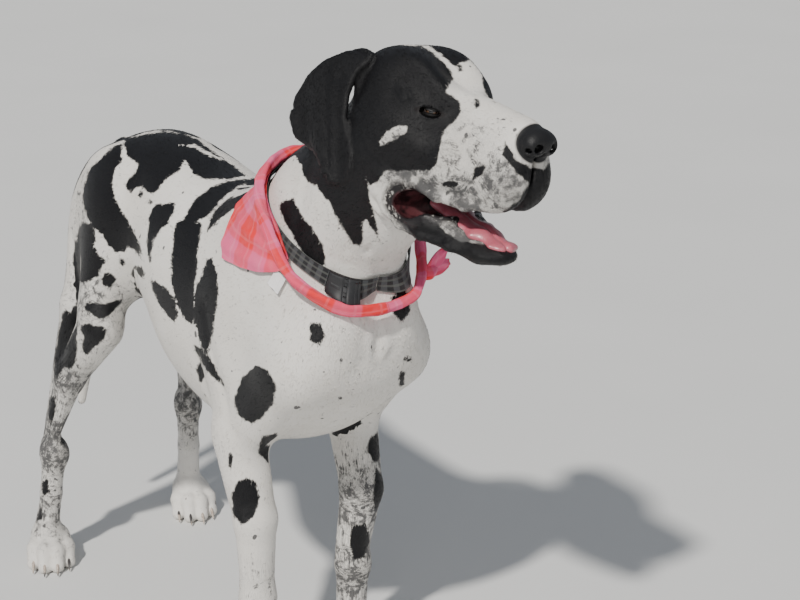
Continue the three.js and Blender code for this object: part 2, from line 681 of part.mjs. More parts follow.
const NECK_TO_HEAD = { point: [30, -440, 985], direction: [0.1, -1, 0.42] };
const TRUNK_TO_NECK = { point: [0, -262, 765], direction: [0, -1, 0.75] };

function wholeBody() {
  const box = [[-260, 280], [-780, 600], [-10, 1130]];
  const fine = [[-70, 150, 6], [-760, -430, 6], [850, 1110, 6]];
  const nearHead = ([x, y, z]) => {
    const head = THREE.MathUtils.smoothstep(z - 0.4 * y, 1060, 1160);
    const foot = 1 - THREE.MathUtils.smoothstep(z, 50, 120);
    return 1 + 12 * head + 1.5 * foot + 0 * x;
  };
  const body = sculpt(flesh, box, 11, 6600, fine, nearHead);
  return largest(body.subtract(halfSpace([0, 0, FLOOR + 0.6], [0, 0, -1], 0)));
}

function clawGeometry(root, tip, radius) {
  const axis = new THREE.Vector3(...tip).sub(new THREE.Vector3(...root));
  const geometry = new THREE.CylinderGeometry(1.2, radius, axis.length(), 8, 1);
  geometry.scale(0.75, 1, 1);
  geometry.translate(0, axis.length() / 2, 0);
  geometry.applyQuaternion(new THREE.Quaternion().setFromUnitVectors(new THREE.Vector3(0, 1, 0), axis.clone().normalize()));
  geometry.translate(...root);
  return geometry;
}

function inHeadSolid(geometry) {
  geometry.applyMatrix4(headMatrix);
  return solidOf(geometry);
}

function eggSolid({ centre, radii, turn }, side) {
  const geometry = new THREE.SphereGeometry(1, 10, 6);
  geometry.scale(...radii);
  geometry.applyMatrix4(new THREE.Matrix4().makeRotationFromEuler(new THREE.Euler(...turn.map(degrees), 'ZYX')));
  geometry.translate(...centre);
  if (side < 0) {
    geometry.scale(1, -1, 1);
    geometry.index.array.reverse();
  }
  return inHeadSolid(geometry);
}

function eyeSolid(side, grow) {
  const geometry = new THREE.IcosahedronGeometry(EYE.radius + grow, 1);
  geometry.translate(EYE.at[0], side * EYE.at[1], EYE.at[2]);
  return inHeadSolid(geometry);
}

function noseCutter(grow) {
  const geometry = new THREE.SphereGeometry(1, 14, 8);
  geometry.scale(27 + grow, 33 + grow, 25 + grow);
  geometry.translate(203, 0, 8);
  return inHeadSolid(geometry);
}

// What the dog wears: everything follows a ring round the root of the neck.

const RING = { centre: [0, -262, 797], forward: [0, -0.839, -0.544], along: [0, -0.544, 0.839] };

// The point on the coat at a bearing round the ring (0 in front, 90 on the dog's right), a level and a lift.
function onRing(bearing, level, lift) {
  const t = degrees(bearing);
  const start = RING.centre.map((v, i) => v + RING.along[i] * level);
  const way = [-Math.sin(t), Math.cos(t) * RING.forward[1], Math.cos(t) * RING.forward[2]];
  let out = 40;
  for (let step = 0; step < 60; step++) out += 0.8 * -flesh(...start.map((v, i) => v + way[i] * out));
  return start.map((v, i) => v + way[i] * (out + lift));
}

// A closed sheet over a patch of the ring, of a thickness and a lift that may differ by level; when it goes
// all the way round its ends are joined.
function wrapSheet(bearings, levelsAt, liftAt, thick) {
  const around = bearings[bearings.length - 1] - bearings[0] === 360;
  const columns = around ? bearings.slice(0, -1) : bearings;
  const rows = levelsAt(columns[0]).length;
  const points = [];
  for (const bearing of columns) {
    for (const level of levelsAt(bearing)) {
      points.push(onRing(bearing, level, liftAt(level)), onRing(bearing, level, liftAt(level) + thick));
    }
  }
  const id = (column, row, side) => ((column % columns.length) * rows + row) * 2 + side;
  const faces = [];
  const quad = (a, b, c, d) => faces.push([a, b, c], [a, c, d]);
  const last = around ? columns.length : columns.length - 1;
  for (let i = 0; i < last; i++) {
    for (let j = 0; j < rows - 1; j++) {
      quad(id(i, j, 0), id(i + 1, j, 0), id(i + 1, j + 1, 0), id(i, j + 1, 0));
      quad(id(i, j, 1), id(i, j + 1, 1), id(i + 1, j + 1, 1), id(i + 1, j, 1));
    }
    quad(id(i, 0, 0), id(i, 0, 1), id(i + 1, 0, 1), id(i + 1, 0, 0));
    quad(id(i, rows - 1, 0), id(i + 1, rows - 1, 0), id(i + 1, rows - 1, 1), id(i, rows - 1, 1));
  }
  if (!around) {
    for (let j = 0; j < rows - 1; j++) {
      quad(id(0, j, 0), id(0, j + 1, 0), id(0, j + 1, 1), id(0, j, 1));
      quad(id(last, j, 0), id(last, j, 1), id(last, j + 1, 1), id(last, j + 1, 0));
    }
  }
  const solid = toManifold({ points, faces });
  return solid.volume() > 0 ? solid : toManifold({ points, faces: faces.map(([a, b, c]) => [a, c, b]) });
}

const steps = (from, to, count) => Array.from({ length: count + 1 }, (_, i) => from + ((to - from) * i) / count);

// The roll lies below the collar in front and climbs over it on both sides to the nape.
function rollLevel(bearing) {
  const away = Math.min(bearing, 360 - bearing);
  return 40 * THREE.MathUtils.smoothstep(away, 48, 92) - 1;
}

// The triangle of the bandana hangs over the right shoulder from the roll; its corner is at 112 degrees.
const FLAP = { from: 62, to: 176, corner: 112, drop: 92 };

function flapLevels(bearing) {
  const toCorner = bearing < FLAP.corner ? (bearing - FLAP.from) / (FLAP.corner - FLAP.from)
    : (FLAP.to - bearing) / (FLAP.to - FLAP.corner);
  const drop = 6 + FLAP.drop * toCorner ** (bearing < FLAP.corner ? 0.8 : 1.1);
  return steps(rollLevel(bearing), -drop, 6);
}

// The cloth lies on the coat below the collar and is lifted where it passes over it.
const flapLift = (level) => 1.5 + 3.4 * THREE.MathUtils.smoothstep(level, -8, 7);

function rollGeometry() {
  const centres = steps(0, 360, 30).slice(0, -1).map((bearing) => new THREE.Vector3(
    ...onRing(bearing, rollLevel(bearing), 15)));
  return new THREE.TubeGeometry(new THREE.CatmullRomCurve3(centres, true), 40, 9.5, 6, true);
}

function knotSolid() {
  const [x, y, z] = onRing(-42, 0, 36);
  const knot = new THREE.SphereGeometry(1, 10, 7);
  knot.scale(17, 13, 14);
  knot.translate(x, y, z);
  const tails = [[24, -14, 38], [38, 2, 6]].map(([dx, dy, dz]) => {
    const tail = new THREE.CylinderGeometry(13, 5, 44, 12);
    tail.scale(1, 1, 0.22);
    tail.translate(0, 22, 0);
    tail.applyQuaternion(new THREE.Quaternion().setFromUnitVectors(
      new THREE.Vector3(0, 1, 0), new THREE.Vector3(dx, dy, dz).normalize()));
    tail.translate(x, y, z);
    return solidOf(tail);
  });
  return solidOf(knot).add(tails[0]).add(tails[1]);
}

function wornPieces() {
  const sheet = (from, to, count, levels, low, high) =>
    wrapSheet(steps(from, to, count), levels, typeof low === 'function' ? low : () => low, high);
  return {
    bandana: sheet(FLAP.from, FLAP.to, 15, flapLevels, flapLift, 2.5),
    bandana_roll: solidOf(rollGeometry()),
    bandana_knot: knotSolid(),
    bandana_tag: sheet(57, 67, 3, () => steps(-16, -40, 2), 5.5, 1),
    collar: sheet(0, 360, 30, () => steps(9, 33, 1), 1.5, 2.5),
    collar_buckle: sheet(13, 33, 6, () => steps(5, 37, 3), 4.6, 8.4),
  };
}

// The whole model.

function cutBody() {
  const pieces = {};
  let body = wholeBody();
  [pieces.head, body] = partOff(body, (grow) => halfSpace(NECK_TO_HEAD.point, NECK_TO_HEAD.direction, grow));
  [pieces.neck, body] = partOff(body, (grow) => halfSpace(TRUNK_TO_NECK.point, TRUNK_TO_NECK.direction, grow));
  [pieces.foreleg_right, body] = partOff(body, (grow) => sideBlock(FORELEG_SIDE, -400, -58, grow));
  [pieces.foreleg_left, body] = partOff(body, (grow) => sideBlock(FORELEG_SIDE, 50, 400, grow));
  [pieces.hindleg_right, body] = partOff(body, (grow) => sideBlock(HINDLEG_SIDE, -400, -46, grow));
  [pieces.hindleg_left, body] = partOff(body, (grow) => sideBlock(HINDLEG_SIDE, 46, 400, grow));
  [pieces.tail, body] = partOff(body, (grow) => sideBlock(TAIL_SIDE, -110, 60, grow));
  pieces.torso = body;
  [pieces.nose, pieces.head] = partOff(pieces.head, noseCutter);
  return pieces;
}

function addNostrils(pieces) {
  for (const side of [-1, 1]) {
    for (const shape of NOSTRILS) {
      const hole = eggSolid(shape, side);
      pieces.nose = largest(pieces.nose.subtract(hole));
      pieces.head = largest(pieces.head.subtract(hole));
    }
  }
}

function addEyes(pieces) {
  for (const [name, side] of [['eye_right', -1], ['eye_left', 1]]) {
    pieces[name] = eyeSolid(side, 0);
    const opened = pieces.head.subtract(eyeSolid(side, GAP)).subtract(eggSolid(LID_SLIT, side));
    pieces.head = largest(opened);
  }
}

function addClaws(pieces) {
  for (const [leg, pairs] of Object.entries(CLAWS)) {
    pairs.forEach(([root, tip], i) => {
      pieces[leg.replace('leg_', '_claw_') + '_' + (i + 1)] = solidOf(clawGeometry(root, tip, 5));
      pieces[leg] = largest(pieces[leg].subtract(solidOf(clawGeometry(root, tip, 5 + GAP))));
    });
  }
}

// Ears and tongue lie against the head, so what they share with it is taken from them.
function addSoftPieces(pieces) {
  const clear = (solid, ...others) => largest(others.reduce((kept, other) => kept.subtract(other), solid));
  const earBox = (side) => [[side < 0 ? -150 : 0, side < 0 ? 60 : 250], [-520, -180], [820, 1130]];
  pieces.ear_right = clear(sculpt(earRight, earBox(-1), 4, 520), pieces.head, pieces.neck);
  pieces.ear_left = clear(sculpt(earLeft, earBox(1), 4, 520), pieces.head, pieces.neck);
  pieces.tongue = clear(sculpt(tongue, [[-40, 160], [-720, -420], [800, 940]], 4, 300), pieces.head);
}

function addWorn(pieces) {
  const worn = wornPieces();
  const flesh = [pieces.neck, pieces.torso, pieces.foreleg_right, pieces.foreleg_left, pieces.head];
  for (const [name, solid] of Object.entries(worn)) {
    const nearer = { bandana: ['bandana_roll', 'collar'], collar: ['bandana_roll'], bandana_knot: ['bandana_roll', 'collar'],
      bandana_tag: ['bandana_roll', 'bandana'], collar_buckle: ['collar', 'bandana_roll'] }[name] ?? [];
    const others = [...flesh, ...nearer.map((other) => worn[other])];
    worn[name] = largest(others.reduce((kept, other) => kept.subtract(other), solid));
  }
  Object.assign(pieces, worn);
}

const MATERIALS = {
  coat: [0xe9e6e0, 0.75], black_skin: [0x1d1b1c, 0.5], tongue_skin: [0xc9727c, 0.4], eye_glass: [0x2a1c12, 0.15],
  claw_horn: [0xb8a99a, 0.5], bandana_cloth: [0xe2595c, 0.9], tag_cloth: [0xf2f2ee, 0.9],
  collar_webbing: [0x24262a, 0.85], buckle_plastic: [0x141517, 0.4],
};

function materialFor(name) {
  if (name === 'nose') return 'black_skin';
  if (name === 'tongue') return 'tongue_skin';
  if (name.startsWith('eye')) return 'eye_glass';
  if (name.includes('claw')) return 'claw_horn';
  if (name === 'bandana_tag') return 'tag_cloth';
  if (name.startsWith('bandana')) return 'bandana_cloth';
  if (name === 'collar') return 'collar_webbing';
  if (name === 'collar_buckle') return 'buckle_plastic';
  return 'coat';
}

function meshOf(name, solid) {
  const { vertProperties, triVerts, numProp } = solid.getMesh();
  const position = new Float32Array((vertProperties.length / numProp) * 3);
  for (let i = 0; i < position.length / 3; i++) {
    for (let n = 0; n < 3; n++) position[3 * i + n] = vertProperties[numProp * i + n];
  }
  const geometry = new THREE.BufferGeometry();
  geometry.setAttribute('position', new THREE.BufferAttribute(position, 3));
  geometry.setIndex(Array.from(triVerts));
  geometry.computeVertexNormals();
  const slot = materialFor(name);
  const [color, roughness] = MATERIALS[slot];
  const mesh = new THREE.Mesh(geometry, new THREE.MeshStandardMaterial({ name: slot, color, roughness }));
  mesh.name = name;
  return mesh;
}

function build() {
  const pieces = cutBody();
  addNostrils(pieces);
  addEyes(pieces);
  addClaws(pieces);
  addSoftPieces(pieces);
  addWorn(pieces);
  const group = new THREE.Group();
  group.name = 'great_dane';
  for (const [name, solid] of Object.entries(pieces)) group.add(meshOf(name, solid));
  const box = new THREE.Box3().setFromObject(group);
  const shift = [-(box.min.x + box.max.x) / 2, -(box.min.y + box.max.y) / 2, -box.min.z];
  group.children.forEach((mesh) => mesh.geometry.translate(...shift));
  group.userData.shift = shift;
  return group;
}

export default build();
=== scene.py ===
"""The visual model of a harlequin great dane standing still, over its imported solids."""

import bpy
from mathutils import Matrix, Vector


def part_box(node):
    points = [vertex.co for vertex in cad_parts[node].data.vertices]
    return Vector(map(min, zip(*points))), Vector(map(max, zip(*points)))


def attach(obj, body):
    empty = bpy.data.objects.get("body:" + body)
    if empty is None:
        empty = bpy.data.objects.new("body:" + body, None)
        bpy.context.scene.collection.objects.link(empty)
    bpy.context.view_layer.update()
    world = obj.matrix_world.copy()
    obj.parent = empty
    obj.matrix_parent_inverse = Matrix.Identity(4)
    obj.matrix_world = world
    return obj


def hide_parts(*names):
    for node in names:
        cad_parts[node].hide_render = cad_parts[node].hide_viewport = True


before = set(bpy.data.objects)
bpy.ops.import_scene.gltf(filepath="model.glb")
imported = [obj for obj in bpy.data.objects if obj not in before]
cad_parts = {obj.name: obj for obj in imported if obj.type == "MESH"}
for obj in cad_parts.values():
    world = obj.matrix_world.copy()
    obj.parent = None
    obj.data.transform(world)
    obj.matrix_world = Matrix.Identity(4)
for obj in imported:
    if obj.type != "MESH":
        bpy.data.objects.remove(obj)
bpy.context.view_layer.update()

import math

import bpy
import numpy as np
from mathutils import Vector

MM = 0.001

# Fields: signed distances in millimetres, in the sculpt's own frame.


def smooth_min(a, b, k):
    h = np.maximum(k - np.abs(a - b), 0) / k
    return np.minimum(a, b) - h * h * k * 0.25


def smooth_max(a, b, k):
    return -smooth_min(-a, -b, k)


def rod(a, b, squash=(1, 1, 1)):
    """A rod with round ends; the fourth number of each end is its radius."""
    least = min(squash)
    run = [(b[i] - a[i]) / squash[i] for i in range(3)]
    drop = a[3] - b[3]
    long2 = sum(v * v for v in run)
    side2 = long2 - drop * drop

    def field(x, y, z):
        px, py, pz = (x - a[0]) / squash[0], (y - a[1]) / squash[1], (z - a[2]) / squash[2]
        along = px * run[0] + py * run[1] + pz * run[2]
        past = along - long2
        off2 = (px * long2 - run[0] * along) ** 2 + (py * long2 - run[1] * along) ** 2
        off2 = off2 + (pz * long2 - run[2] * along) ** 2
        bend = math.copysign(drop * drop, drop) * off2 if drop else 0 * off2
        start_end, far_end = along * along * long2, past * past * long2
        d = (np.sqrt(off2 * side2 / long2) + along * drop) / long2 - a[3]
        d = np.where(np.sign(along) * side2 * start_end < bend, np.sqrt(off2 + start_end) / long2 - a[3], d)
        d = np.where(np.sign(past) * side2 * far_end > bend, np.sqrt(off2 + far_end) / long2 - b[3], d)
        return d * least

    return field


def turning(degrees):
    """The rows of a turn by degrees about x, then y, then z."""
    (cx, cy, cz), (sx, sy, sz) = ([f(math.radians(v)) for v in degrees] for f in (math.cos, math.sin))
    return np.array([
        [cz * cy, cz * sy * sx - sz * cx, cz * sy * cx + sz * sx],
        [sz * cy, sz * sy * sx + cz * cx, sz * sy * cx - cz * sx],
        [-sy, cy * sx, cy * cx],
    ])


def unit(way):
    return way / np.linalg.norm(way)


def unit_rows(ways):
    return ways / np.maximum(np.linalg.norm(ways, axis=1), 1e-6)[:, None]


def egg(centre, radii, turn=(0, 0, 0)):
    m = turning(turn)

    def field(x, y, z):
        px, py, pz = x - centre[0], y - centre[1], z - centre[2]
        u = [(m[0][i] * px + m[1][i] * py + m[2][i] * pz) / radii[i] for i in range(3)]
        size = np.sqrt(u[0] ** 2 + u[1] ** 2 + u[2] ** 2)
        slope = np.sqrt((u[0] / radii[0]) ** 2 + (u[1] / radii[1]) ** 2 + (u[2] / radii[2]) ** 2)
        return size * (size - 1) / np.maximum(slope, 1e-9)

    return field


def blend(parts, k):
    def field(x, y, z):
        d = parts[0](x, y, z)
        for part in parts[1:]:
            d = smooth_min(d, part(x, y, z), k)
        return d

    return field


def chain(points, k, squash=(1, 1, 1)):
    return blend([rod(points[i], points[i + 1], squash) for i in range(len(points) - 1)], k)


def smooth_table(rows, place):
    """Smooth values between rows of (place, value, value, ...)."""
    rows = np.array(rows, float)
    last = len(rows) - 1
    i = np.clip(np.searchsorted(rows[:, 0], place, side="left") - 1, 0, last - 1)
    before, after = np.maximum(i - 1, 0), np.minimum(i + 2, last)
    h = rows[i + 1, 0] - rows[i, 0]
    t = np.clip((place - rows[i, 0]) / h, 0, 1)
    out = []
    for j in range(1, rows.shape[1]):
        v0, v1, v2, v3 = rows[before, j], rows[i, j], rows[i + 1, j], rows[after, j]
        m1 = np.where(before == i, (v2 - v1) / h, (v2 - v0) / (rows[i + 1, 0] - rows[before, 0] + 1e-9))
        m2 = np.where(after == i + 1, (v2 - v1) / h, (v3 - v1) / (rows[after, 0] - rows[i, 0] + 1e-9))
        out.append((2 * t**3 - 3 * t**2 + 1) * v1 + (t**3 - 2 * t**2 + t) * h * m1
                   + (3 * t**2 - 2 * t**3) * v2 + (t**3 - t**2) * h * m2)
    return out


# Trunk, neck, tail and legs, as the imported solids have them.

TRUNK = [
    (-392, 672, 612, 16, 0.5), (-380, 705, 572, 58, 0.5), (-356, 745, 530, 94, 0.5),
    (-300, 785, 475, 118, 0.5), (-220, 812, 432, 132, 0.48), (-140, 826, 410, 140, 0.46),
    (-40, 812, 412, 146, 0.46),
    (60, 818, 440, 141, 0.48), (150, 838, 492, 122, 0.52), (230, 848, 540, 106, 0.58),
    (310, 838, 570, 104, 0.62), (390, 796, 600, 88, 0.62), (440, 745, 640, 55, 0.55),
]
ROUNDNESS = 2.25


def trunk(x, y, z):
    along = np.clip(y, TRUNK[0][0], TRUNK[-1][0])
    top, bottom, half, level = smooth_table(TRUNK, along)
    middle = bottom + (top - bottom) * level
    tall = np.where(z > middle, top - middle, middle - bottom)
    reach = ((np.abs(x) / half) ** ROUNDNESS + (np.abs(z - middle) / tall) ** ROUNDNESS) ** (1 / ROUNDNESS)
    d = np.hypot(x, z - middle) * (1 - 1 / np.maximum(reach, 1e-6))
    beyond = np.abs(y - along)
    return np.where(beyond > 0, np.hypot(np.maximum(d, 0), beyond), np.maximum(d * 0.92, -60))


breast_side = egg((46, -352, 640), (54, 46, 92), (14, 0, 0))


def breast(x, y, z):
    """The two breast muscles, with a groove between them."""
    return breast_side(np.abs(x), y, z)


neck = chain([
    (0, -190, 715, 130), (4, -285, 815, 112), (12, -365, 890, 98), (20, -425, 950, 88), (26, -455, 990, 76),
], 40, (0.86, 1, 1))
tail = chain([
    (0, 400, 775, 34), (0, 455, 715, 29), (-6, 492, 620, 23), (-20, 510, 500, 18), (-40, 518, 380, 14),
    (-58, 528, 270, 9),
], 14)

TOE_ACROSS = (-0.74, -0.27, 0.27, 0.74)
TOE_AHEAD = (18, 37, 37, 18)
CLAWS = []


def paw(x0, y0, half, turn):
    c, s = math.cos(math.radians(turn)), math.sin(math.radians(turn))

    def at(across, ahead, z):
        return (x0 + across * c + ahead * s, y0 + across * s - ahead * c, z)

    toes = []
    for k, ahead in zip(TOE_ACROSS, TOE_AHEAD):
        root, knuckle = at(k * half * 0.62, ahead - 34, 44), at(k * half * 0.9, ahead, 35)
        tip = at(k * half, ahead + 18, 12.5)
        toes.append(blend([rod((*root, 17), (*knuckle, 16)), rod((*knuckle, 16), (*tip, 14))], 7))
        CLAWS.append((at(k * half * 1.02, ahead + 22, 19), at(k * half * 1.06, ahead + 44, 5)))
    pad = egg(at(0, -6, 24), (half * 0.84, 38, 26), (0, 0, turn))
    instep = egg(at(0, -8, 46), (half * 0.7, 32, 27), (0, 0, turn))
    return blend([blend(toes, 4), pad, instep], 11)


def foreleg(side, elbow, knee, wrist, foot, turn):
    def at(p, r):
        return (side * p[0], p[1], p[2], r)

    shoulder = blend([
        rod(at((68, -215, 770), 50), at((96, -308, 600), 52), (0.72, 1, 1)),
        rod(at((98, -306, 592), 50), at((110, -185, 462), 46), (0.8, 1, 1)),
        rod(at((92, -150, 660), 64), at((112, -140, 470), 36), (0.66, 1, 1)),
    ], 40)
    arm = blend([
        chain([at(elbow, 44), at(knee, 36), at((wrist[0], wrist[1], wrist[2] + 28), 29.5)], 12),
        egg((side * wrist[0], wrist[1] - 2, wrist[2]), (31, 30, 32)),
        chain([at((wrist[0], wrist[1], wrist[2] - 10), 28), at((foot[0], foot[1] + 22, 62), 27)], 10),
        egg((side * elbow[0], elbow[1] + 24, elbow[2] + 4), (24, 26, 30)),
    ], 16)
    return blend([shoulder, arm, paw(side * foot[0], foot[1], 47, turn)], 20)


def hindleg(side, stifle, shin, hock, foot, turn):
    def at(p, r):
        return (side * p[0], p[1], p[2], r)

    def move(p, dx, dy, dz):
        return (p[0] + dx, p[1] + dy, p[2] + dz)

    thigh = blend([
        egg((side * 76, 318, 668), (52, 116, 146), (18, 0, 0)),
        rod(at((82, 270, 690), 78), at(move(stifle, -8, 18, 30), 50), (0.76, 1, 1)),
        rod(at((64, 400, 680), 56), at(move(stifle, -12, 120, 10), 36), (0.7, 1, 1)),
    ], 36)
    shank = blend([
        chain([at(stifle, 48), at(shin, 31), at(move(hock, 2, -8, 46), 19)], 14, (0.82, 1, 1)),
        rod(at(move(stifle, -4, 110, -4), 34), at(move(hock, 0, 26, 26), 9), (0.8, 1, 1)),
        rod(at(move(hock, 0, 28, 2), 13), at(move(hock, 0, 2, -14), 20)),
        egg((side * hock[0], hock[1] - 4, hock[2]), (23, 27, 28)),
    ], 18)
    middle = ((hock[0] + foot[0]) / 2, (hock[1] + foot[1]) / 2 + 6, 140)
    ankle = (foot[0], foot[1] + 14, 58)
    rear = chain([at(move(hock, 0, 4, -14), 24), at(middle, 22), at(ankle, 25)], 8, (0.92, 1.1, 1))
    return blend([thigh, shank, rear, paw(side * foot[0], foot[1], 43, turn)], 18)


fore_right = foreleg(-1, (112, -165, 440), (111, -205, 310), (110, -205, 172), (114, -228, 0), -8)
fore_left = foreleg(1, (104, -165, 440), (97, -205, 310), (88, -190, 172), (86, -208, 0), -8)
hind_right = hindleg(-1, (134, 268, 512), (150, 372, 390), (168, 424, 230), (182, 436, 0), -26)
hind_left = hindleg(1, (122, 300, 512), (140, 412, 390), (152, 486, 234), (148, 478, 0), -22)

# Head, in its own frame: forward, left, up.

HEAD_AT, HEAD_SCALE = np.array([37.0, -494.0, 1008.0]), 1.06
HEADING, DOWN, ROLL = (math.radians(v) for v in (5, 2.1, -6.5))


def head_axes():
    forward = np.array([
        math.sin(HEADING) * math.cos(DOWN), -math.cos(HEADING) * math.cos(DOWN), -math.sin(DOWN),
    ])
    level = np.array([math.cos(HEADING), math.sin(HEADING), 0])
    rise = np.cross(forward, level)
    left = level * math.cos(ROLL) + rise * math.sin(ROLL)
    up = rise * math.cos(ROLL) - level * math.sin(ROLL)
    return np.array([forward, left, up])


HEAD_AXES = head_axes()


def to_head(x, y, z):
    p = [(v - c) / HEAD_SCALE for v, c in zip((x, y, z), HEAD_AT)]
    return [p[0] * axis[0] + p[1] * axis[1] + p[2] * axis[2] for axis in HEAD_AXES]


def from_head(point):
    return HEAD_AT + HEAD_SCALE * (np.asarray(point, float) @ HEAD_AXES)


EYE_AT, EYE_RADIUS = (34, 42, 16), 12.5
cranium = blend([
    egg((-58, 0, 28), (84, 66, 57)), egg((-32, 38, 44), (62, 32, 40)),
    egg((24, 34, 30), (34, 26, 25)), egg((-18, 46, -16), (68, 32, 46)),
], 26)
muzzle = blend([
    rod((40, 0, 4, 41), (157, 0, -2, 33)), rod((62, 0, 18, 21), (178, 0, 8, 18)),
    egg((114, 26, -46), (76, 26, 54)), egg((48, 42, -52), (62, 22, 46)), egg((152, 14, -44), (42, 27, 48)),
], 20)
nose_pad = blend([egg((192, 0, 6), (20, 25, 20)), egg((194, 15, 2), (14, 12, 14))], 8)
jaw = blend([
    rod((-60, 44, -56, 28), (40, 34, -130, 20)), rod((40, 32, -132, 20), (126, 18, -154, 15)),
    egg((140, 0, -155), (31, 32, 15)), rod((-30, 8, -86, 42), (90, 6, -144, 19)),
    rod((-20, 50, -104, 14), (18, 44, -132, 13)),
], 16)
mouth_cavity = blend([
    egg((96, 0, -104), (84, 34, 20), (0, 16, 0)), egg((24, 20, -100), (50, 34, 17), (0, 20, 0)),
    egg((16, 34, -112), (34, 34, 24)),
], 10)
lips = chain([
    (160, 24, -84, 8), (120, 46, -91, 8), (70, 52, -90, 8), (22, 56, -81, 8), (-14, 57, -86, 8),
    (-27, 55, -107, 7), (-19, 53, -131, 7), (4, 50, -145, 7), (42, 46, -151, 7), (92, 38, -154, 7),
    (128, 22, -160, 7),
], 8)
lid_round = egg(EYE_AT, (20, 17.5, 15.5), (0, 0, 32))
lid_slit = egg((EYE_AT[0] + 7, EYE_AT[1] + 11, EYE_AT[2]), (19, 18, 2.9), (0, 8, 32))
eye_opening = egg((EYE_AT[0] + 5, EYE_AT[1] + 8, EYE_AT[2]), (15, 14, 6.5), (0, 8, 32))
nostril = blend([
    egg((208, 13, 1), (13, 5.5, 5), (0, 0, 25)), egg((199, 24, -3), (11, 4, 2.6), (0, 0, 60)),
], 3)
cheek_fold = egg((-24, 66, -66), (34, 9, 3.2), (0, -8, 4))
philtrum = egg((196, 0, -30), (22, 1.6, 22))


def head(x, y, z):
    a, side, c = to_head(x, y, z)
    b = np.abs(side)
    d = smooth_min(cranium(a, b, c), muzzle(a, b, c), 24)
    d = smooth_min(d, lid_round(a, b, c), 7)
    d = smooth_min(d, nose_pad(a, b, c), 5)
    d = smooth_min(d, jaw(a, b, c), 10)
    d = smooth_max(d, -mouth_cavity(a, b, c), 5)
    d = smooth_min(d, lips(a, b, c), 5)
    d = smooth_max(d, -eye_opening(a, b, c), 2)
    d = smooth_max(d, -nostril(a, b, c), 2)
    for fold, k in ((cheek_fold, 5), (philtrum, 3)):
        d = smooth_max(d, -fold(a, b, c), k)
    return d * HEAD_SCALE


EAR_OUTLINE = [
    (-68, 74), (-92, 82), (-122, 72), (-154, 53), (-182, 26), (-202, -8), (-207, -42), (-192, -70),
    (-162, -83), (-134, -88), (-120, -104), (-104, -116), (-84, -116), (-68, -104), (-61, -84), (-62, -60),
    (-74, -40),
    (-86, -18), (-88, 10), (-80, 40), (-66, 60),
]
EAR_THICK = 9


def outline_distance(outline, u, v):
    """Signed distance to a closed outline, below zero inside."""
    best = np.full(np.shape(u), np.inf)
    inside = np.zeros(np.shape(u), bool)
    for (ax, ay), (bx, by) in zip([outline[-1], *outline[:-1]], outline):
        t = np.clip(((u - ax) * (bx - ax) + (v - ay) * (by - ay)) / ((bx - ax) ** 2 + (by - ay) ** 2), 0, 1)
        best = np.minimum(best, np.hypot(u - ax - t * (bx - ax), v - ay - t * (by - ay)))
        if ay != by:
            inside ^= ((ay > v) != (by > v)) & (u < (bx - ax) * (v - ay) / (by - ay) + ax)
    return np.where(inside, -best, best)


def ear_layer(a, c):
    fallen = np.clip((70 - c) / 180, 0, 1)
    back = np.clip((-80 - a) / 110, 0, 1)
    folds = 5 * np.sin((a + 0.25 * c) / 13) * fallen
    return 62 + 40 * np.sqrt(fallen) - 12 * fallen + 10 * back * (1 - fallen) + folds


def ears(x, y, z):
    a, side, c = to_head(x, y, z)
    b = np.abs(side)
    flap = np.abs(b - ear_layer(a, c)) * 0.85 - EAR_THICK / 2
    d = smooth_max(outline_distance(EAR_OUTLINE, a, c) + 3, flap, 6)
    d = smooth_min(d, rod((-84, 54, 52, 17), (-112, 62, 44, 14))(a, b, c), 12)
    d = smooth_max(d, -egg((-76, 76, 34), (9, 7, 18), (0, 20, 0))(a, b, c), 4)
    return smooth_min(d, rod((-90, 60, 46, 13), (-92, 62, -30, 9))(a, b, c), 8) * HEAD_SCALE


def flesh(x, y, z):
    """The whole dog but its ears."""
    d = smooth_min(smooth_min(trunk(x, y, z), breast(x, y, z), 26), neck(x, y, z), 60)
    low = z < 900
    if low.any():
        x1, y1, z1 = x[low], y[low], z[low]
        part = smooth_min(d[low], smooth_min(fore_right(x1, y1, z1), fore_left(x1, y1, z1), 8), 36)
        part = smooth_min(part, smooth_min(hind_right(x1, y1, z1), hind_left(x1, y1, z1), 20), 38)
        d[low] = smooth_min(part, tail(x1, y1, z1), 22)
    high = (z > 700) & (y < -150)
    if high.any():
        x1, y1, z1 = x[high], y[high], z[high]
        d[high] = smooth_min(d[high], head(x1, y1, z1), 30)
    return d


def body(x, y, z):
    d = flesh(x, y, z)
    high = (z > 800) & (y < -150)
    if high.any():
        d[high] = smooth_min(d[high], ears(x[high], y[high], z[high]), 5)
    return d


# Folds and hollows between muscles, alike on both sides: (points on the surface, width, depth).
BODY_GROOVES = [
    ([(64, -165, 805), (112, -235, 700), (116, -312, 610)], 15, 5.0),
    ([(134, -118, 650), (136, -150, 550), (128, -200, 470)], 13, 4.0),
    ([(128, -112, 470), (142, -84, 560)], 15, 4.5),
    ([(118, 392, 640), (134, 366, 560), (140, 350, 490)], 14, 4.5),
    ([(124, 190, 620), (120, 236, 520)], 18, 5.0),
    ([(142, -188, 400), (138, -186, 220)], 8, 2.6),
    ([(190, 452, 210), (200, 452, 90)], 7, 2.2),
    ([(0, -405, 860), (0, -404, 700), (0, -380, 600)], 9, 2.6),
    ([(36, -438, 900), (30, -412, 800)], 7, 3.0),
    ([(60, -418, 905), (52, -390, 800)], 6, 2.4),
    ([(84, -340, 930), (86, -318, 820)], 14, 3.6),
]
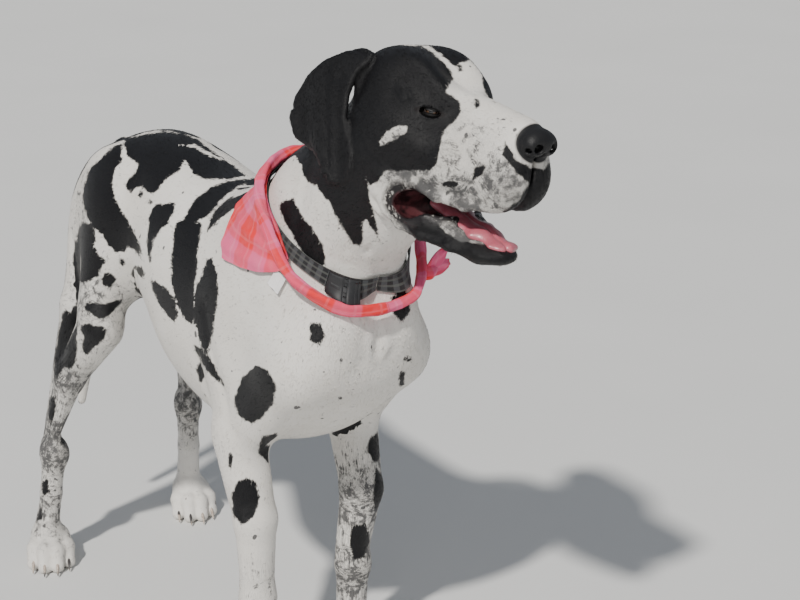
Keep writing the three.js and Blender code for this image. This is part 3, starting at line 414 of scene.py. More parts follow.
# The same in the head's own frame: brow, lids, cheek and the side of the muzzle.
HEAD_GROOVES = [
    ([(64, 26, 36), (40, 46, 39), (12, 58, 32)], 6.0, 1.6),
    ([(64, 38, -2), (36, 58, -10), (4, 64, -8)], 5.5, 1.4),
    ([(66, 36, -10), (36, 56, -22), (0, 66, -22)], 5.0, 1.4),
    ([(4, 0, 84), (66, 0, 46)], 9, 2.6),
    ([(-36, 72, -30), (-66, 62, -78)], 9, 3.0),
    ([(-50, 70, -84), (-34, 66, -120), (-16, 56, -146)], 6, 3.0),
    ([(-64, 62, -92), (-48, 60, -126), (-30, 50, -150)], 6, 2.6),
    ([(146, 36, -22), (96, 48, -52), (46, 58, -60)], 8, 1.8),
]


def carve(grooves, x, y, z):
    """How much deeper the surface lies at each point because of the grooves."""
    out = np.zeros_like(x)
    for places, width, depth in grooves:
        line = chain([(*place, 0.0) for place in places], 2)
        out = np.maximum(out, depth * np.exp(-(line(x, y, z) / width) ** 2))
    return out


COAT = 1.2
FLOOR = 0.6


def skin_field(x, y, z):
    d = body(x, y, z) + COAT
    near = np.abs(d) < 16
    d[near] += carve(BODY_GROOVES, np.abs(x[near]), y[near], z[near])
    near = (np.abs(d) < 12) & (z > 820) & (y < -280)
    a, side, c = to_head(x[near], y[near], z[near])
    d[near] += carve(HEAD_GROOVES, a, np.abs(side), c)
    return np.maximum(d, FLOOR + 0.3 - z)


# From a field to a mesh.


def grid_lines(low, high, step, *fine):
    """Lines a step apart, closer together in each fine range of (low, high, step)."""
    lines = [low]
    while lines[-1] < high:
        here = lines[-1]
        gaps = [s + 0.25 * max(a - here, here - b, 0) for a, b, s in fine]
        lines.append(here + min([step, *gaps]))
    return np.array(lines, float)


def in_chunks(field, x, y, z, size=400000):
    chunks = [slice(i, i + size) for i in range(0, len(x), size)]
    return np.concatenate([field(x[part], y[part], z[part]) for part in chunks])


def sample_grid(field, lines, block=4):
    """The field on the grid; far from the surface one value serves a block."""
    shape = tuple(len(v) for v in lines)
    starts = [np.arange(0, n, block) for n in shape]
    ends = [np.minimum(s + block, n - 1) for s, n in zip(starts, shape)]
    mids = [(v[s] + v[e]) / 2 for v, s, e in zip(lines, starts, ends)]
    spans = [v[e] - v[s] for v, s, e in zip(lines, starts, ends)]
    centre = [m.ravel() for m in np.meshgrid(*mids, indexing="ij")]
    reach = np.sqrt(sum(m.ravel() ** 2 for m in np.meshgrid(*spans, indexing="ij"))) / 2
    coarse = in_chunks(field, *centre)
    near = (np.abs(coarse) < reach * 1.8 + 12).reshape([len(s) for s in starts])
    value = coarse.reshape(near.shape)
    for axis in range(3):
        value = np.repeat(value, block, axis)
        near = np.repeat(near, block, axis)
    value = value[:shape[0], :shape[1], :shape[2]].astype(np.float32)
    i, j, k = np.nonzero(near[:shape[0], :shape[1], :shape[2]])
    value[i, j, k] = in_chunks(field, lines[0][i], lines[1][j], lines[2][k])
    return value


def surface(field, lines):
    """One point in each cell the surface passes through, with four-sided faces between them."""
    value = sample_grid(field, lines)
    inside = value < 0
    cells = np.array(value.shape) - 1
    stride = np.array([cells[1] * cells[2], cells[2], 1])
    owners, places, rings = [], [], []
    for axis in range(3):
        low, high = [slice(None)] * 3, [slice(None)] * 3
        low[axis], high[axis] = slice(0, -1), slice(1, None)
        at = np.array(np.nonzero(inside[tuple(low)] != inside[tuple(high)])).T
        va, vb = value[tuple(low)][tuple(at.T)], value[tuple(high)][tuple(at.T)]
        place = np.stack([lines[n][at[:, n]] for n in range(3)], 1)
        place[:, axis] += va / (va - vb) * (lines[axis][at[:, axis] + 1] - lines[axis][at[:, axis]])
        first, second = [n for n in range(3) if n != axis]
        ring = []
        for p, q in ((1, 1), (0, 1), (0, 0), (1, 0)):
            cell = at.copy()
            cell[:, first] -= p
            cell[:, second] -= q
            ring.append(cell @ stride)
            owners.append(ring[-1])
            places.append(place)
        ring = np.stack(ring, 1)
        flip = (va < 0) if axis == 1 else (va >= 0)
        ring[flip] = ring[flip][:, ::-1]
        rings.append(ring)
    owners, places, rings = np.concatenate(owners), np.concatenate(places), np.concatenate(rings)
    used, number = np.unique(owners, return_inverse=True)
    count = np.bincount(number)
    points = np.stack([np.bincount(number, places[:, n]) / count for n in range(3)], 1)
    return points, np.searchsorted(used, rings)


def gradient(field, p, h=0.5):
    steps = np.eye(3) * h
    ahead = [in_chunks(field, *(p + s).T) for s in steps]
    behind = [in_chunks(field, *(p - s).T) for s in steps]
    return np.stack([(a - b) / (2 * h) for a, b in zip(ahead, behind)], 1)


def settle(field, points, quads, rounds=2):
    """Evens the points out along the surface and slides them onto it."""
    edges = np.concatenate([quads[:, [n, (n + 1) % 4]] for n in range(4)])
    degree = np.bincount(edges.ravel(), minlength=len(points))[:, None]
    for _ in range(rounds):
        mean = np.zeros_like(points)
        for a, b in ((0, 1), (1, 0)):
            for n in range(3):
                mean[:, n] += np.bincount(edges[:, a], points[edges[:, b], n], len(points))
        points = points + 0.5 * (mean / np.maximum(degree, 1) - points)
        slope = gradient(field, points)
        size2 = np.maximum((slope**2).sum(1), 0.2)
        points = points - np.clip(in_chunks(field, *points.T) / size2, -3, 3)[:, None] * slope
    return points


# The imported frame's place, from its right eye.

eye_low, eye_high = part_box("eye_right")
EYE_RIGHT = from_head((EYE_AT[0], -EYE_AT[1], EYE_AT[2]))
SHIFT = np.array([(eye_low[i] + eye_high[i]) / 2 for i in range(3)]) / MM - EYE_RIGHT


def to_frame(points):
    return (np.asarray(points, float) + SHIFT) * MM


# The camera, as the photograph was taken.

AZIMUTH, PITCH = math.radians(-35.4), math.radians(18.4)
DISTANCE, AIM, FOCAL = 3390, np.array([322.0, 0.0, 543.0]), 1900
PHOTO_WIDTH, PHOTO_HEIGHT = 800, 600
BACK = np.array([math.sin(AZIMUTH) * math.cos(PITCH), -math.cos(AZIMUTH) * math.cos(PITCH), math.sin(PITCH)])
RIGHT = np.array([math.cos(AZIMUTH), math.sin(AZIMUTH), 0])
UP = np.cross(BACK, RIGHT)
CAMERA_AT = AIM + BACK * DISTANCE


def in_photo(points):
    """Where sculpt points fall in the photograph, in pixels, and how far off they are."""
    away = points - CAMERA_AT
    depth = -away @ BACK
    across = PHOTO_WIDTH / 2 + FOCAL * (away @ RIGHT) / depth
    return across, PHOTO_HEIGHT / 2 - FOCAL * (away @ UP) / depth, depth


def add_camera():
    data = bpy.data.cameras.new("camera")
    data.sensor_width = 36
    data.lens = FOCAL / PHOTO_WIDTH * 36
    data.clip_end = 50
    camera = bpy.data.objects.new("camera", data)
    bpy.context.scene.collection.objects.link(camera)
    camera.location = to_frame(CAMERA_AT)
    camera.rotation_euler = Vector(BACK).to_track_quat("Z", "Y").to_euler()
    bpy.context.scene.camera = camera


add_camera()


# Mesh objects.


def new_object(name, points, faces):
    """A mesh object from sculpt points and faces of three or four corners."""
    mesh = bpy.data.meshes.new(name)
    faces = np.asarray(faces)
    corners = faces.shape[1]
    mesh.vertices.add(len(points))
    mesh.vertices.foreach_set("co", to_frame(points).astype(np.float32).ravel())
    mesh.loops.add(faces.size)
    mesh.loops.foreach_set("vertex_index", faces.ravel().astype(np.int32))
    mesh.polygons.add(len(faces))
    mesh.polygons.foreach_set("loop_start", np.arange(0, faces.size, corners, dtype=np.int32))
    mesh.update(calc_edges=True)
    mesh.validate()
    mesh.polygons.foreach_set("use_smooth", np.ones(len(mesh.polygons), bool))
    piece = bpy.data.objects.new(name, mesh)
    bpy.context.scene.collection.objects.link(piece)
    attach(piece, "root")
    return piece


def set_values(piece, name, values):
    layer = piece.data.attributes.new(name, "FLOAT", "POINT")
    layer.data.foreach_set("value", np.asarray(values, np.float32))


# The skin: one closed surface for head, ears, neck, trunk, tail and legs.

SKIN_GRID = [
    grid_lines(-262, 280, 6, (-72, 150, 3.2)),
    grid_lines(-785, 605, 8, (-770, -440, 3.2), (-330, -160, 5), (380, 530, 5)),
    grid_lines(-8, 1130, 8, (860, 1120, 3.2), (0, 90, 4)),
]
SKIN_NODES = [
    "head", "neck", "torso", "tail", "foreleg_right", "foreleg_left", "hindleg_right", "hindleg_left",
    "ear_right", "ear_left", "nose",
]


def biggest_part(points, faces):
    """Only the largest connected part of a mesh."""
    label = np.arange(len(points))
    while True:
        least = label[faces].min(1)
        after = label.copy()
        for n in range(faces.shape[1]):
            np.minimum.at(after, faces[:, n], least)
        after = after[after]
        if (after == label).all():
            break
        label = after
    keep = label == np.bincount(label).argmax()
    number = np.cumsum(keep) - 1
    return points[keep], number[faces[keep[faces[:, 0]]]]


def make_skin():
    points, quads = surface(skin_field, SKIN_GRID)
    points, quads = biggest_part(points, quads)
    points = settle(skin_field, points, quads)
    points[:, 2] = np.maximum(points[:, 2], FLOOR + 0.2)
    return points, quads


skin_points, skin_quads = make_skin()
skin = new_object("skin", skin_points, skin_quads)
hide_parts(*SKIN_NODES)


def vertex_normals(piece, count):
    flat = np.empty(count * 3, np.float32)
    piece.data.vertices.foreach_get("normal", flat)
    return flat.reshape(-1, 3).astype(float)


skin_normals = vertex_normals(skin, len(skin_points))


# The black patches, traced in pixels on enlarged parts of the photograph.


def traced(left, top, scale, *outlines):
    return [[(left + u / scale, top + v / scale) for u, v in outline] for outline in outlines]


BODY_PATCHES = traced(
    0, 100, 5.2267,
    [(650, 205), (750, 180), (860, 165), (960, 175), (1030, 205), (1110, 265), (1200, 330), (1290, 395),
     (1200, 412), (1100, 415), (1050, 405), (1010, 385), (990, 345), (968, 318), (940, 360), (895, 395),
     (855, 425), (830, 465), (800, 488), (770, 480), (745, 450), (715, 455), (685, 485), (655, 465),
     (665, 420), (700, 385), (722, 350), (715, 325), (665, 295), (655, 250)],
    [(640, 225), (590, 245), (530, 300), (460, 370), (440, 450), (430, 520), (450, 600), (480, 660),
     (530, 700), (560, 745), (600, 795), (650, 795), (670, 765), (710, 790), (745, 840), (735, 770),
     (705, 700), (670, 630), (625, 560), (598, 500), (588, 430), (600, 365), (640, 315), (632, 270)],
    [(430, 635), (480, 655), (498, 700), (492, 760), (512, 810), (555, 840), (525, 880), (515, 920),
     (440, 955), (400, 945), (388, 880), (382, 810), (400, 740), (410, 690)],
    [(820, 540), (850, 545), (915, 535), (910, 580), (880, 640), (830, 690), (800, 740), (790, 800),
     (785, 860), (775, 830), (768, 740), (775, 640), (790, 575)],
    [(1330, 415), (1250, 415), (1170, 430), (1100, 460), (1040, 500), (1000, 550), (970, 610), (920, 650),
     (910, 700), (905, 760), (895, 850), (895, 920), (900, 980), (930, 1080), (970, 1150), (1010, 1180),
     (1020, 1130), (1015, 1050), (1020, 960), (1030, 880), (1030, 800), (1050, 700), (1055, 650),
     (1020, 640), (1080, 610), (1110, 580), (1150, 530), (1200, 480), (1260, 445), (1330, 430)],
    [(1360, 435), (1300, 450), (1200, 510), (1130, 570), (1100, 620), (1085, 680), (1110, 670),
     (1150, 620), (1220, 570), (1280, 530), (1330, 480), (1365, 440)],
    [(1105, 820), (1140, 920), (1140, 1010), (1130, 1100), (1115, 1200), (1090, 1330), (1050, 1290),
     (1030, 1200), (1015, 1150), (1010, 1080), (1025, 980), (1060, 900), (1085, 830)],
    [(785, 930), (830, 960), (870, 980), (910, 1040), (930, 1110), (920, 1170), (880, 1130), (840, 1080),
     (810, 1020), (790, 970)],
    [(440, 1065), (500, 1058), (560, 1065), (610, 1045), (640, 1050), (600, 1100), (560, 1140),
     (510, 1140), (450, 1100)],
    [(545, 905), (585, 905), (610, 940), (590, 975), (550, 978), (530, 945)],
    [(700, 870), (735, 868), (760, 905), (745, 942), (705, 945), (685, 908)],
    [(625, 832), (650, 830), (662, 850), (640, 866), (622, 852)],
    [(735, 470), (752, 490), (735, 512), (718, 490)],
    [(785, 512), (800, 530), (785, 552), (770, 530)],
)
SLIVER = traced(
    0, 100, 5.2267,
    [(930, 235), (1020, 236), (1080, 266), (1165, 308), (1155, 318), (1070, 280), (1015, 246)],
)
LEG_PATCHES = traced(
    15, 230, 4.6118,
    [(820, 520), (860, 550), (900, 590), (950, 680), (965, 720), (930, 690), (880, 650), (850, 590)],
    [(230, 360), (290, 410), (285, 480), (285, 600), (260, 640), (225, 630), (190, 700), (180, 650),
     (185, 560), (200, 480), (215, 400)],
    [(310, 430), (420, 450), (415, 500), (370, 540), (330, 580), (310, 560), (320, 500), (300, 460)],
    [(160, 760), (190, 770), (185, 850), (165, 900), (150, 850)],
    [(215, 900), (240, 905), (232, 990), (210, 985)],
    [(120, 1160), (150, 1150), (160, 1210), (130, 1230)],
    [(90, 1290), (120, 1280), (128, 1330), (100, 1350)],
)
HEAD_PATCHES = traced(
    270, 20, 4,
    [(540, 84), (600, 100), (640, 125), (690, 165), (725, 205), (735, 235), (700, 285), (735, 310),
     (760, 330), (765, 365), (740, 400), (700, 440), (684, 480), (676, 530), (665, 575), (640, 600),
     (560, 600), (460, 605), (430, 650), (400, 660), (380, 620), (360, 640), (330, 700),
     (220, 700), (110, 560), (30, 400), (30, 260), (140, 150), (300, 60), (420, 50)],
    [(650, 60), (690, 80), (770, 128), (800, 160), (762, 170), (742, 188), (700, 150), (640, 105), (625, 75)],
    [(850, 215), (890, 230), (925, 270), (900, 330), (870, 305), (852, 262)],
    [(745, 175), (768, 180), (774, 205), (755, 212)],
    [(815, 310), (835, 318), (840, 345), (822, 350)],
    [(940, 480), (985, 560), (1040, 590), (1090, 600), (1140, 560), (1160, 620), (1110, 700), (1050, 770),
     (960, 810), (930, 770), (1000, 715), (1035, 650), (985, 610), (930, 540)],
    [(500, 650), (560, 715), (640, 775), (700, 850), (760, 885), (900, 905), (990, 900), (1010, 1000),
     (830, 1020), (710, 970), (630, 915), (570, 860), (530, 800), (490, 720)],
    [(820, 590), (860, 580), (850, 620), (810, 640)],
    [(700, 640), (760, 650), (740, 670), (690, 662)],
)
NECK_PATCHES = traced(
    220, 150, 6,
    [(490, -10), (600, 80), (572, 212), (520, 192), (490, 110)],
    [(620, 130), (640, 240), (760, 200), (830, 40), (880, 180), (900, 300), (940, 450), (962, 556),
     (930, 500), (880, 420), (860, 440), (860, 520), (850, 580), (800, 560), (740, 480), (680, 370),
     (630, 230)],
    [(365, 310), (440, 290), (480, 380), (560, 480), (620, 570), (638, 700), (560, 700), (500, 620),
     (420, 490), (355, 360)],
    [(540, 1040), (600, 1040), (630, 1110), (600, 1180), (540, 1130)],
    [(1090, 820), (1140, 870), (1145, 960), (1090, 1035), (1040, 980), (1020, 890)],
    [(440, 745), (480, 775), (470, 810), (440, 790)],
)
CHEST_PATCHES = [
    [(256, 365), (268, 370), (276, 385), (274, 402), (262, 418), (250, 424), (238, 415), (234, 398),
     (242, 378)],
    [(262, 436), (276, 433), (285, 442), (280, 456), (268, 463), (258, 452)],
    [(246, 477), (256, 482), (260, 498), (254, 516), (243, 525), (233, 516), (231, 498), (236, 484)],
    [(388, 432), (380, 430), (370, 438), (367, 450), (374, 463), (384, 455)],
    [(352, 526), (366, 523), (370, 540), (364, 558), (354, 560), (350, 545)],
    [(376, 468), (385, 478), (384, 500), (378, 520), (373, 500)],
    [(405, 355), (413, 358), (411, 363), (404, 361)],
    [(399, 371), (405, 372), (405, 387), (399, 385)],
    [(312, 326), (320, 322), (324, 331), (318, 343), (309, 341)],
    [(196, 366), (201, 362), (206, 376), (200, 384)],
    [(230, 452), (233, 455), (231, 470), (228, 462)],
]
CHEEK_SPOT = traced(
    270, 20, 4,
    [(470, 445), (520, 420), (548, 428), (540, 455), (500, 478), (445, 505), (440, 485)],
)
PIXEL = 1.6


def outline_depth(outlines, u, v):
    """Signed distance to the nearest of several outlines, in pixels, above zero inside one."""
    return -np.minimum.reduce([outline_distance(outline, u, v) for outline in outlines])


def patch_in_photo(points):
    """How deep inside a black patch each point lies, in millimetres, as the photograph shows it."""
    u, v, _ = in_photo(points)
    everything = [*BODY_PATCHES, *LEG_PATCHES, *HEAD_PATCHES, *NECK_PATCHES, *CHEST_PATCHES]
    black = outline_depth(everything, u, v)
    white = outline_depth([*SLIVER, *CHEEK_SPOT], u, v)
    return PIXEL * np.minimum(black, -white)


DEPTH_CELLS, DEPTH_CELL, ABOVE_PHOTO = 400, 3, 100


def seen_by_camera(points, normals):
    """One where the camera sees the skin well, zero where it is turned away or hidden."""
    u, v, depth = in_photo(points)
    column = np.clip((u / DEPTH_CELL).astype(int), 0, DEPTH_CELLS - 1)
    row = np.clip(((v + ABOVE_PHOTO) / DEPTH_CELL).astype(int), 0, DEPTH_CELLS - 1)
    nearest = np.full((DEPTH_CELLS, DEPTH_CELLS), np.inf)
    np.minimum.at(nearest, (row, column), depth)
    for axis in (0, 1):
        nearest = np.minimum(nearest, np.minimum(np.roll(nearest, 1, axis), np.roll(nearest, -1, axis)))
    clear = np.clip((nearest[row, column] + 70 - depth) / 25, 0, 1)
    away = CAMERA_AT - points
    facing = (normals * away).sum(1) / np.linalg.norm(away, axis=1)
    return clear * np.clip((facing - 0.02) / 0.18, 0, 1)


def wander(points, size, reach, seed):
    """A smooth irregular displacement, to break up an outline."""
    rng = np.random.default_rng(seed)
    out = np.zeros_like(points)
    for octave in (1.0, 2.1):
        for n in range(3):
            way = rng.normal(size=(3, 3))
            phase = rng.uniform(0, 6.3, 3)
            waves = np.sin(points @ (way.T * octave / size) + phase)
            out[:, n] += waves.mean(1) * reach / octave
    return out


def head_share(points):
    """Zero on the body, rising to one up the neck on to the head."""
    return np.clip((points[:, 2] - 0.4 * points[:, 1] - 1080) / 60, 0, 1)


def borrowed_patch(points):
    """Patches for the sides the photograph doesn't show, taken from the shown side and shifted."""
    side = from_head_mirror(points)
    on_head = head_share(points)[:, None]
    trunk_place = points * (-1, 1, 1) + (0, 60, -25)
    place = trunk_place * (1 - on_head) + side * on_head
    place = place + wander(points, 60, 26, 3) * (1 - 0.7 * on_head)
    return patch_in_photo(place)


def from_head_mirror(points):
    """The points mirrored in the head's own middle plane, so that both land on the right side."""
    a, b, c = to_head(*points.T)
    return from_head(np.stack([a, -np.abs(b), c], 1))


# How far from the ears the coat is black: the ears' own black coat, then painted shade on the skin under
# them.
EAR_BLACK_AND_SHADE = 26


def patch_and_ear_shade_depth(points, normals):
    """Above zero inside a black patch; both ears are black, and the skin they shade is painted black as
    shade.
    """
    seen = seen_by_camera(points, normals)
    depth = seen * patch_in_photo(points) + (1 - seen) * borrowed_patch(points)
    # Within this reach of the ears the skin is painted black: the ears' own coat, and painted shade where
    # they shade the skin.
    return np.maximum(depth, EAR_BLACK_AND_SHADE - ears(*points.T))


# Grey speckling of the coat: (centre, radius, strength), the head's in the head's own frame.
HEAD_SPECKLE = [
    ((120, 40, -80), 40, 1.0), ((84, 44, -40), 40, 0.55), ((165, 24, -50), 42, 1.0),
    ((10, 60, -56), 44, 1.1), ((60, 50, -84), 40, 1.0), ((128, 30, -18), 40, 0.45),
    ((40, 40, -150), 50, 1.1), ((110, 20, -158), 50, 1.1), ((70, 34, -2), 36, 0.4),
]
BODY_SPECKLE = [
    ((-150, 372, 400), 90, 0.8), ((-168, 424, 250), 90, 0.9), ((-180, 430, 110), 80, 0.6),
    ((150, 480, 240), 90, 0.8), ((-134, 290, 560), 100, 0.6), ((97, -205, 300), 90, 0.8),
    ((88, -200, 160), 90, 0.8), ((-111, -205, 200), 60, 0.3), ((-110, 330, 700), 80, 0.4),
]


def speckle_strength(points):
    a, b, c = to_head(*points.T)
    local = np.stack([a, np.abs(b), c], 1)
    out = np.zeros(len(points))
    for places, table in ((local, HEAD_SPECKLE), (points, BODY_SPECKLE)):
        for centre, radius, strength in table:
            away = np.linalg.norm(places - np.array(centre), axis=1) / radius
            out = np.maximum(out, strength * np.clip(1.4 - away, 0, 1))
    return out


def nose_depth(points):
    a, b, c = to_head(*points.T)
    reach = np.sqrt(((a - 198) / 33) ** 2 + (b / 34) ** 2 + ((c - 5) / 27) ** 2)
    return (1 - reach) * 27


def lip_depth(points):
    """Above zero inside the mouth, falling to minus the distance from its edge outside."""
    a, b, c = to_head(*points.T)
    return -mouth_cavity(a, np.abs(b), c)


def lid_depth(points):
    a, b, c = to_head(*points.T)
    return -lid_slit(a, np.abs(b), c)


# The lie of the coat: along the body to the tail, down the legs and ears, back over the head.


def coat_lie(points, normals):
    way = np.tile(np.array([0, 0.9, -0.42]), (len(points), 1))
    low = np.clip((560 - points[:, 2]) / 160, 0, 1)[:, None]
    way = way * (1 - low) + low * np.array([0, 0.12, -1])
    a, b, c = to_head(*points.T)
    on_ear = (ears(*points.T) < 3)[:, None]
    on_head = head_share(points)[:, None]
    back = -HEAD_AXES[0] * 0.8 - HEAD_AXES[2] * 0.5
    way = way * (1 - on_head) + back * on_head
    way = np.where(on_ear, -HEAD_AXES[2] + 0.2 * -HEAD_AXES[0], way)
    chest = np.clip((-290 - points[:, 1]) / 60, 0, 1) * np.clip((860 - points[:, 2]) / 60, 0, 1)
    way = way * (1 - chest[:, None]) + chest[:, None] * np.array([0, 0.2, -1])
    return unit_rows(way - normals * (way * normals).sum(1)[:, None])


def set_vectors(piece, name, values):
    layer = piece.data.attributes.new(name, "FLOAT_VECTOR", "POINT")
    layer.data.foreach_set("vector", np.asarray(values, np.float32).ravel())


# The patch values also carry the painted shade on the skin under the ears.
skin_values = {
    "patch": patch_and_ear_shade_depth(skin_points, skin_normals),
    "speckle": speckle_strength(skin_points),
    "nose": nose_depth(skin_points),
    "lip": lip_depth(skin_points),
    "lid": lid_depth(skin_points),
}
skin_lie = coat_lie(skin_points, skin_normals)
for value_name, value_list in skin_values.items():
    set_values(skin, value_name, value_list)
set_vectors(skin, "place", skin_points)
set_vectors(skin, "lie", skin_lie)


# Materials: small helpers over the shader's nodes.


class Shader:
    """A material and short ways to add its nodes."""

    def __init__(self, name):
        self.material = bpy.data.materials.new(name)
        self.material.use_nodes = True
        self.tree = self.material.node_tree
        self.principled = self.tree.nodes["Principled BSDF"]

    def link(self, source, target):
        if isinstance(source, (int, float, tuple)):
            target.default_value = source
        else:
            self.tree.links.new(source, target)

    def attribute(self, name, kind="Fac"):
        node = self.tree.nodes.new("ShaderNodeAttribute")
        node.attribute_name = name
        return node.outputs[kind]

    def math(self, operation, a, b=0.0):
        node = self.tree.nodes.new("ShaderNodeMath")
        node.operation = operation
        self.link(a, node.inputs[0])
        self.link(b, node.inputs[1])
        return node.outputs[0]

    def times(self, a, b):
        return self.math("MULTIPLY", a, b)

    def plus(self, a, b):
        return self.math("ADD", a, b)

    def less(self, a, b):
        return self.math("SUBTRACT", a, b)

    def vector(self, operation, a, b=(0.0, 0.0, 0.0), scale=None):
        node = self.tree.nodes.new("ShaderNodeVectorMath")
        node.operation = operation
        self.link(a, node.inputs[0])
        self.link(b, node.inputs[1])
        if scale is not None:
            self.link(scale, node.inputs["Scale"])
        return node.outputs["Value" if operation == "DOT_PRODUCT" else "Vector"]

    def noise(self, where, scale, detail=2.0, rough=0.5):
        node = self.tree.nodes.new("ShaderNodeTexNoise")
        self.link(where, node.inputs["Vector"])
        node.inputs["Scale"].default_value = scale
        node.inputs["Detail"].default_value = detail
        node.inputs["Roughness"].default_value = rough
        return node.outputs["Fac"]

    def both_ways(self, cloth):
        """The cloth's two directions, in millimetres."""
        node = self.tree.nodes.new("ShaderNodeSeparateXYZ")
        self.link(cloth, node.inputs[0])
        return node.outputs[0], node.outputs[1]

    def wave(self, value, length):
        return self.math("SINE", self.times(value, 2 * math.pi / length))

    def ramp(self, value, low, high, start=0.0, end=1.0):
        node = self.tree.nodes.new("ShaderNodeMapRange")
        self.link(value, node.inputs["Value"])
        limits = {"From Min": low, "From Max": high, "To Min": start, "To Max": end}
        for key, number in limits.items():
            node.inputs[key].default_value = number
        return node.outputs["Result"]

    def mix(self, factor, a, b):
        node = self.tree.nodes.new("ShaderNodeMix")
        node.data_type = "RGBA"
        self.link(factor, node.inputs["Factor"])
        self.link(a if not isinstance(a, tuple) else (*a, 1.0), node.inputs[6])
        self.link(b if not isinstance(b, tuple) else (*b, 1.0), node.inputs[7])
        return node.outputs[2]

    def finish(self, colour, roughness, height=None, bump=0.3, distance=0.001, **plain):
        shader = self.principled.inputs
        self.link(colour if not isinstance(colour, tuple) else (*colour, 1.0), shader["Base Color"])
        self.link(roughness, shader["Roughness"])
        for key, value in plain.items():
            shader[key.replace("_", " ")].default_value = value
        if height is not None:
            node = self.tree.nodes.new("ShaderNodeBump")
            node.inputs["Strength"].default_value = bump
            node.inputs["Distance"].default_value = distance
            self.link(height, node.inputs["Height"])
            self.tree.links.new(node.outputs["Normal"], shader["Normal"])
        return self.material


def black_share(s, place, combed):
    """One inside the black patches and the painted shade under the ears, with an edge made ragged by strands.
    """
    ragged = s.times(s.less(s.noise(place, 0.09, 3.0, 0.6), 0.5), 9.0)
    strands = s.times(s.less(s.noise(combed, 0.35, 1.0), 0.5), 7.0)
    ragged = s.plus(ragged, strands)
    return s.ramp(s.plus(s.attribute("patch"), ragged), -0.9, 0.9)


def light_and_dark_hair(s, place, combed, hair):
    """White hair with its grey speckling and frosting, and black hair."""
    blots = s.noise(place, 0.075, 3.0, 0.62)
    speckle = s.attribute("speckle")
    drawn_out = s.times(s.noise(combed, 0.11, 3.0, 0.65), 0.45)
    streaks = s.plus(s.times(blots, 0.55), drawn_out)
    grey = s.ramp(s.plus(streaks, s.times(speckle, 0.20)), 0.60, 0.69)
    fleck = s.ramp(s.noise(place, 0.05, 1.0, 0.4), 0.735, 0.75)
    frost = s.times(s.ramp(s.noise(combed, 0.45, 2.0, 0.7), 0.40, 0.60), speckle)
    white = s.mix(s.noise(place, 0.011, 3.0), (0.86, 0.84, 0.80), (0.70, 0.66, 0.60))
    white = s.mix(s.times(s.ramp(hair, 0.3, 0.7), 0.2), white, (0.58, 0.55, 0.52))
    dark = s.mix(s.ramp(hair, 0.35, 0.75), (0.0022, 0.0022, 0.003), (0.0085, 0.008, 0.009))
    smoke = s.mix(s.ramp(hair, 0.35, 0.7), (0.018, 0.018, 0.02), (0.13, 0.128, 0.13))
    colour = s.mix(s.times(s.math("MAXIMUM", grey, fleck), 0.9), white, smoke)
    colour = s.mix(s.times(frost, 0.8), colour, (0.045, 0.045, 0.048))
    return colour, dark


def coat_material(name):
    """White coat with black patches and grey speckling, bare black nose and lips, dark red mouth."""
    s = Shader(name)
    place, lie = s.attribute("place", "Vector"), s.attribute("lie", "Vector")
    along = s.vector("DOT_PRODUCT", place, lie)
    combed = s.vector("SUBTRACT", place, s.vector("SCALE", lie, scale=s.times(along, 0.86)))
    hair = s.noise(combed, 0.9, 2.0, 0.6)
    black = black_share(s, place, combed)
    colour = s.mix(black, *light_and_dark_hair(s, place, combed, hair))
    lip = s.attribute("lip")
    broken = s.ramp(s.noise(place, 0.16, 2.0), 0.36, 0.46, 0.25, 1.0)
    edge = s.times(s.ramp(lip, -16.0, -8.0), broken)
    colour = s.mix(edge, colour, (0.016, 0.014, 0.015))
    inner = s.ramp(lip, -2.5, 1.5)
    mouth = s.mix(s.ramp(s.noise(place, 0.06, 3.0), 0.4, 0.6), (0.016, 0.008, 0.009), (0.085, 0.026, 0.03))
    colour = s.mix(inner, colour, mouth)
    nose = s.ramp(s.attribute("nose"), -1.5, 1.0)
    colour = s.mix(nose, colour, (0.010, 0.010, 0.011))
    lid = s.ramp(s.attribute("lid"), -3.0, -1.2)
    colour = s.mix(lid, colour, (0.012, 0.010, 0.010))
    bare = s.math("MAXIMUM", s.math("MAXIMUM", nose, edge), s.math("MAXIMUM", inner, lid))
    rough = s.less(0.62, s.times(black, 0.2))
    rough = s.less(rough, s.times(bare, 0.14))
    pebble = s.noise(place, 0.55, 2.0, 0.6)
    haired = s.times(hair, s.less(1.0, bare))
    height = s.plus(haired, s.times(pebble, bare))
    return s.finish(colour, rough, height, 0.45, 0.0012, Specular_IOR_Level=0.28)


coat = coat_material("coat_short_hair")
skin.data.materials.append(coat)


# An unwrap of the skin's own shape, and the coat's tufts rooted on it.


def unwrap(piece):
    """A map by the directions the skin faces; returns each face's middle on it."""
    piece.data.uv_layers.new(name="OFBake")
    bpy.context.view_layer.objects.active = piece
    piece.select_set(True)
    bpy.ops.object.mode_set(mode="EDIT")
    bpy.ops.mesh.select_all(action="SELECT")
    bpy.ops.uv.smart_project(angle_limit=math.radians(66), island_margin=0.002)
    bpy.ops.object.mode_set(mode="OBJECT")
    piece.select_set(False)
    flat = np.empty(len(piece.data.loops) * 2, np.float32)
    piece.data.uv_layers["OFBake"].data.foreach_get("uv", flat)
    return flat.reshape(-1, 4, 2).mean(1)


face_middles = unwrap(skin)

TUFT_PATCH = 0.003
TUFT_CORNERS = np.array([(-1, 0), (1, 0), (0, 1), (-0.6, 0), (0.6, 0), (0, 0.7), (0, 0)], float)
TUFT_FACES = np.array([
    (0, 2, 1), (0, 1, 4), (0, 4, 3), (1, 2, 5), (1, 5, 4), (2, 0, 3), (2, 3, 5), (3, 4, 6),
    (4, 5, 6), (5, 3, 6),
])
BARE_REACH = {"nose": 6, "lip": 7, "lid": 5}


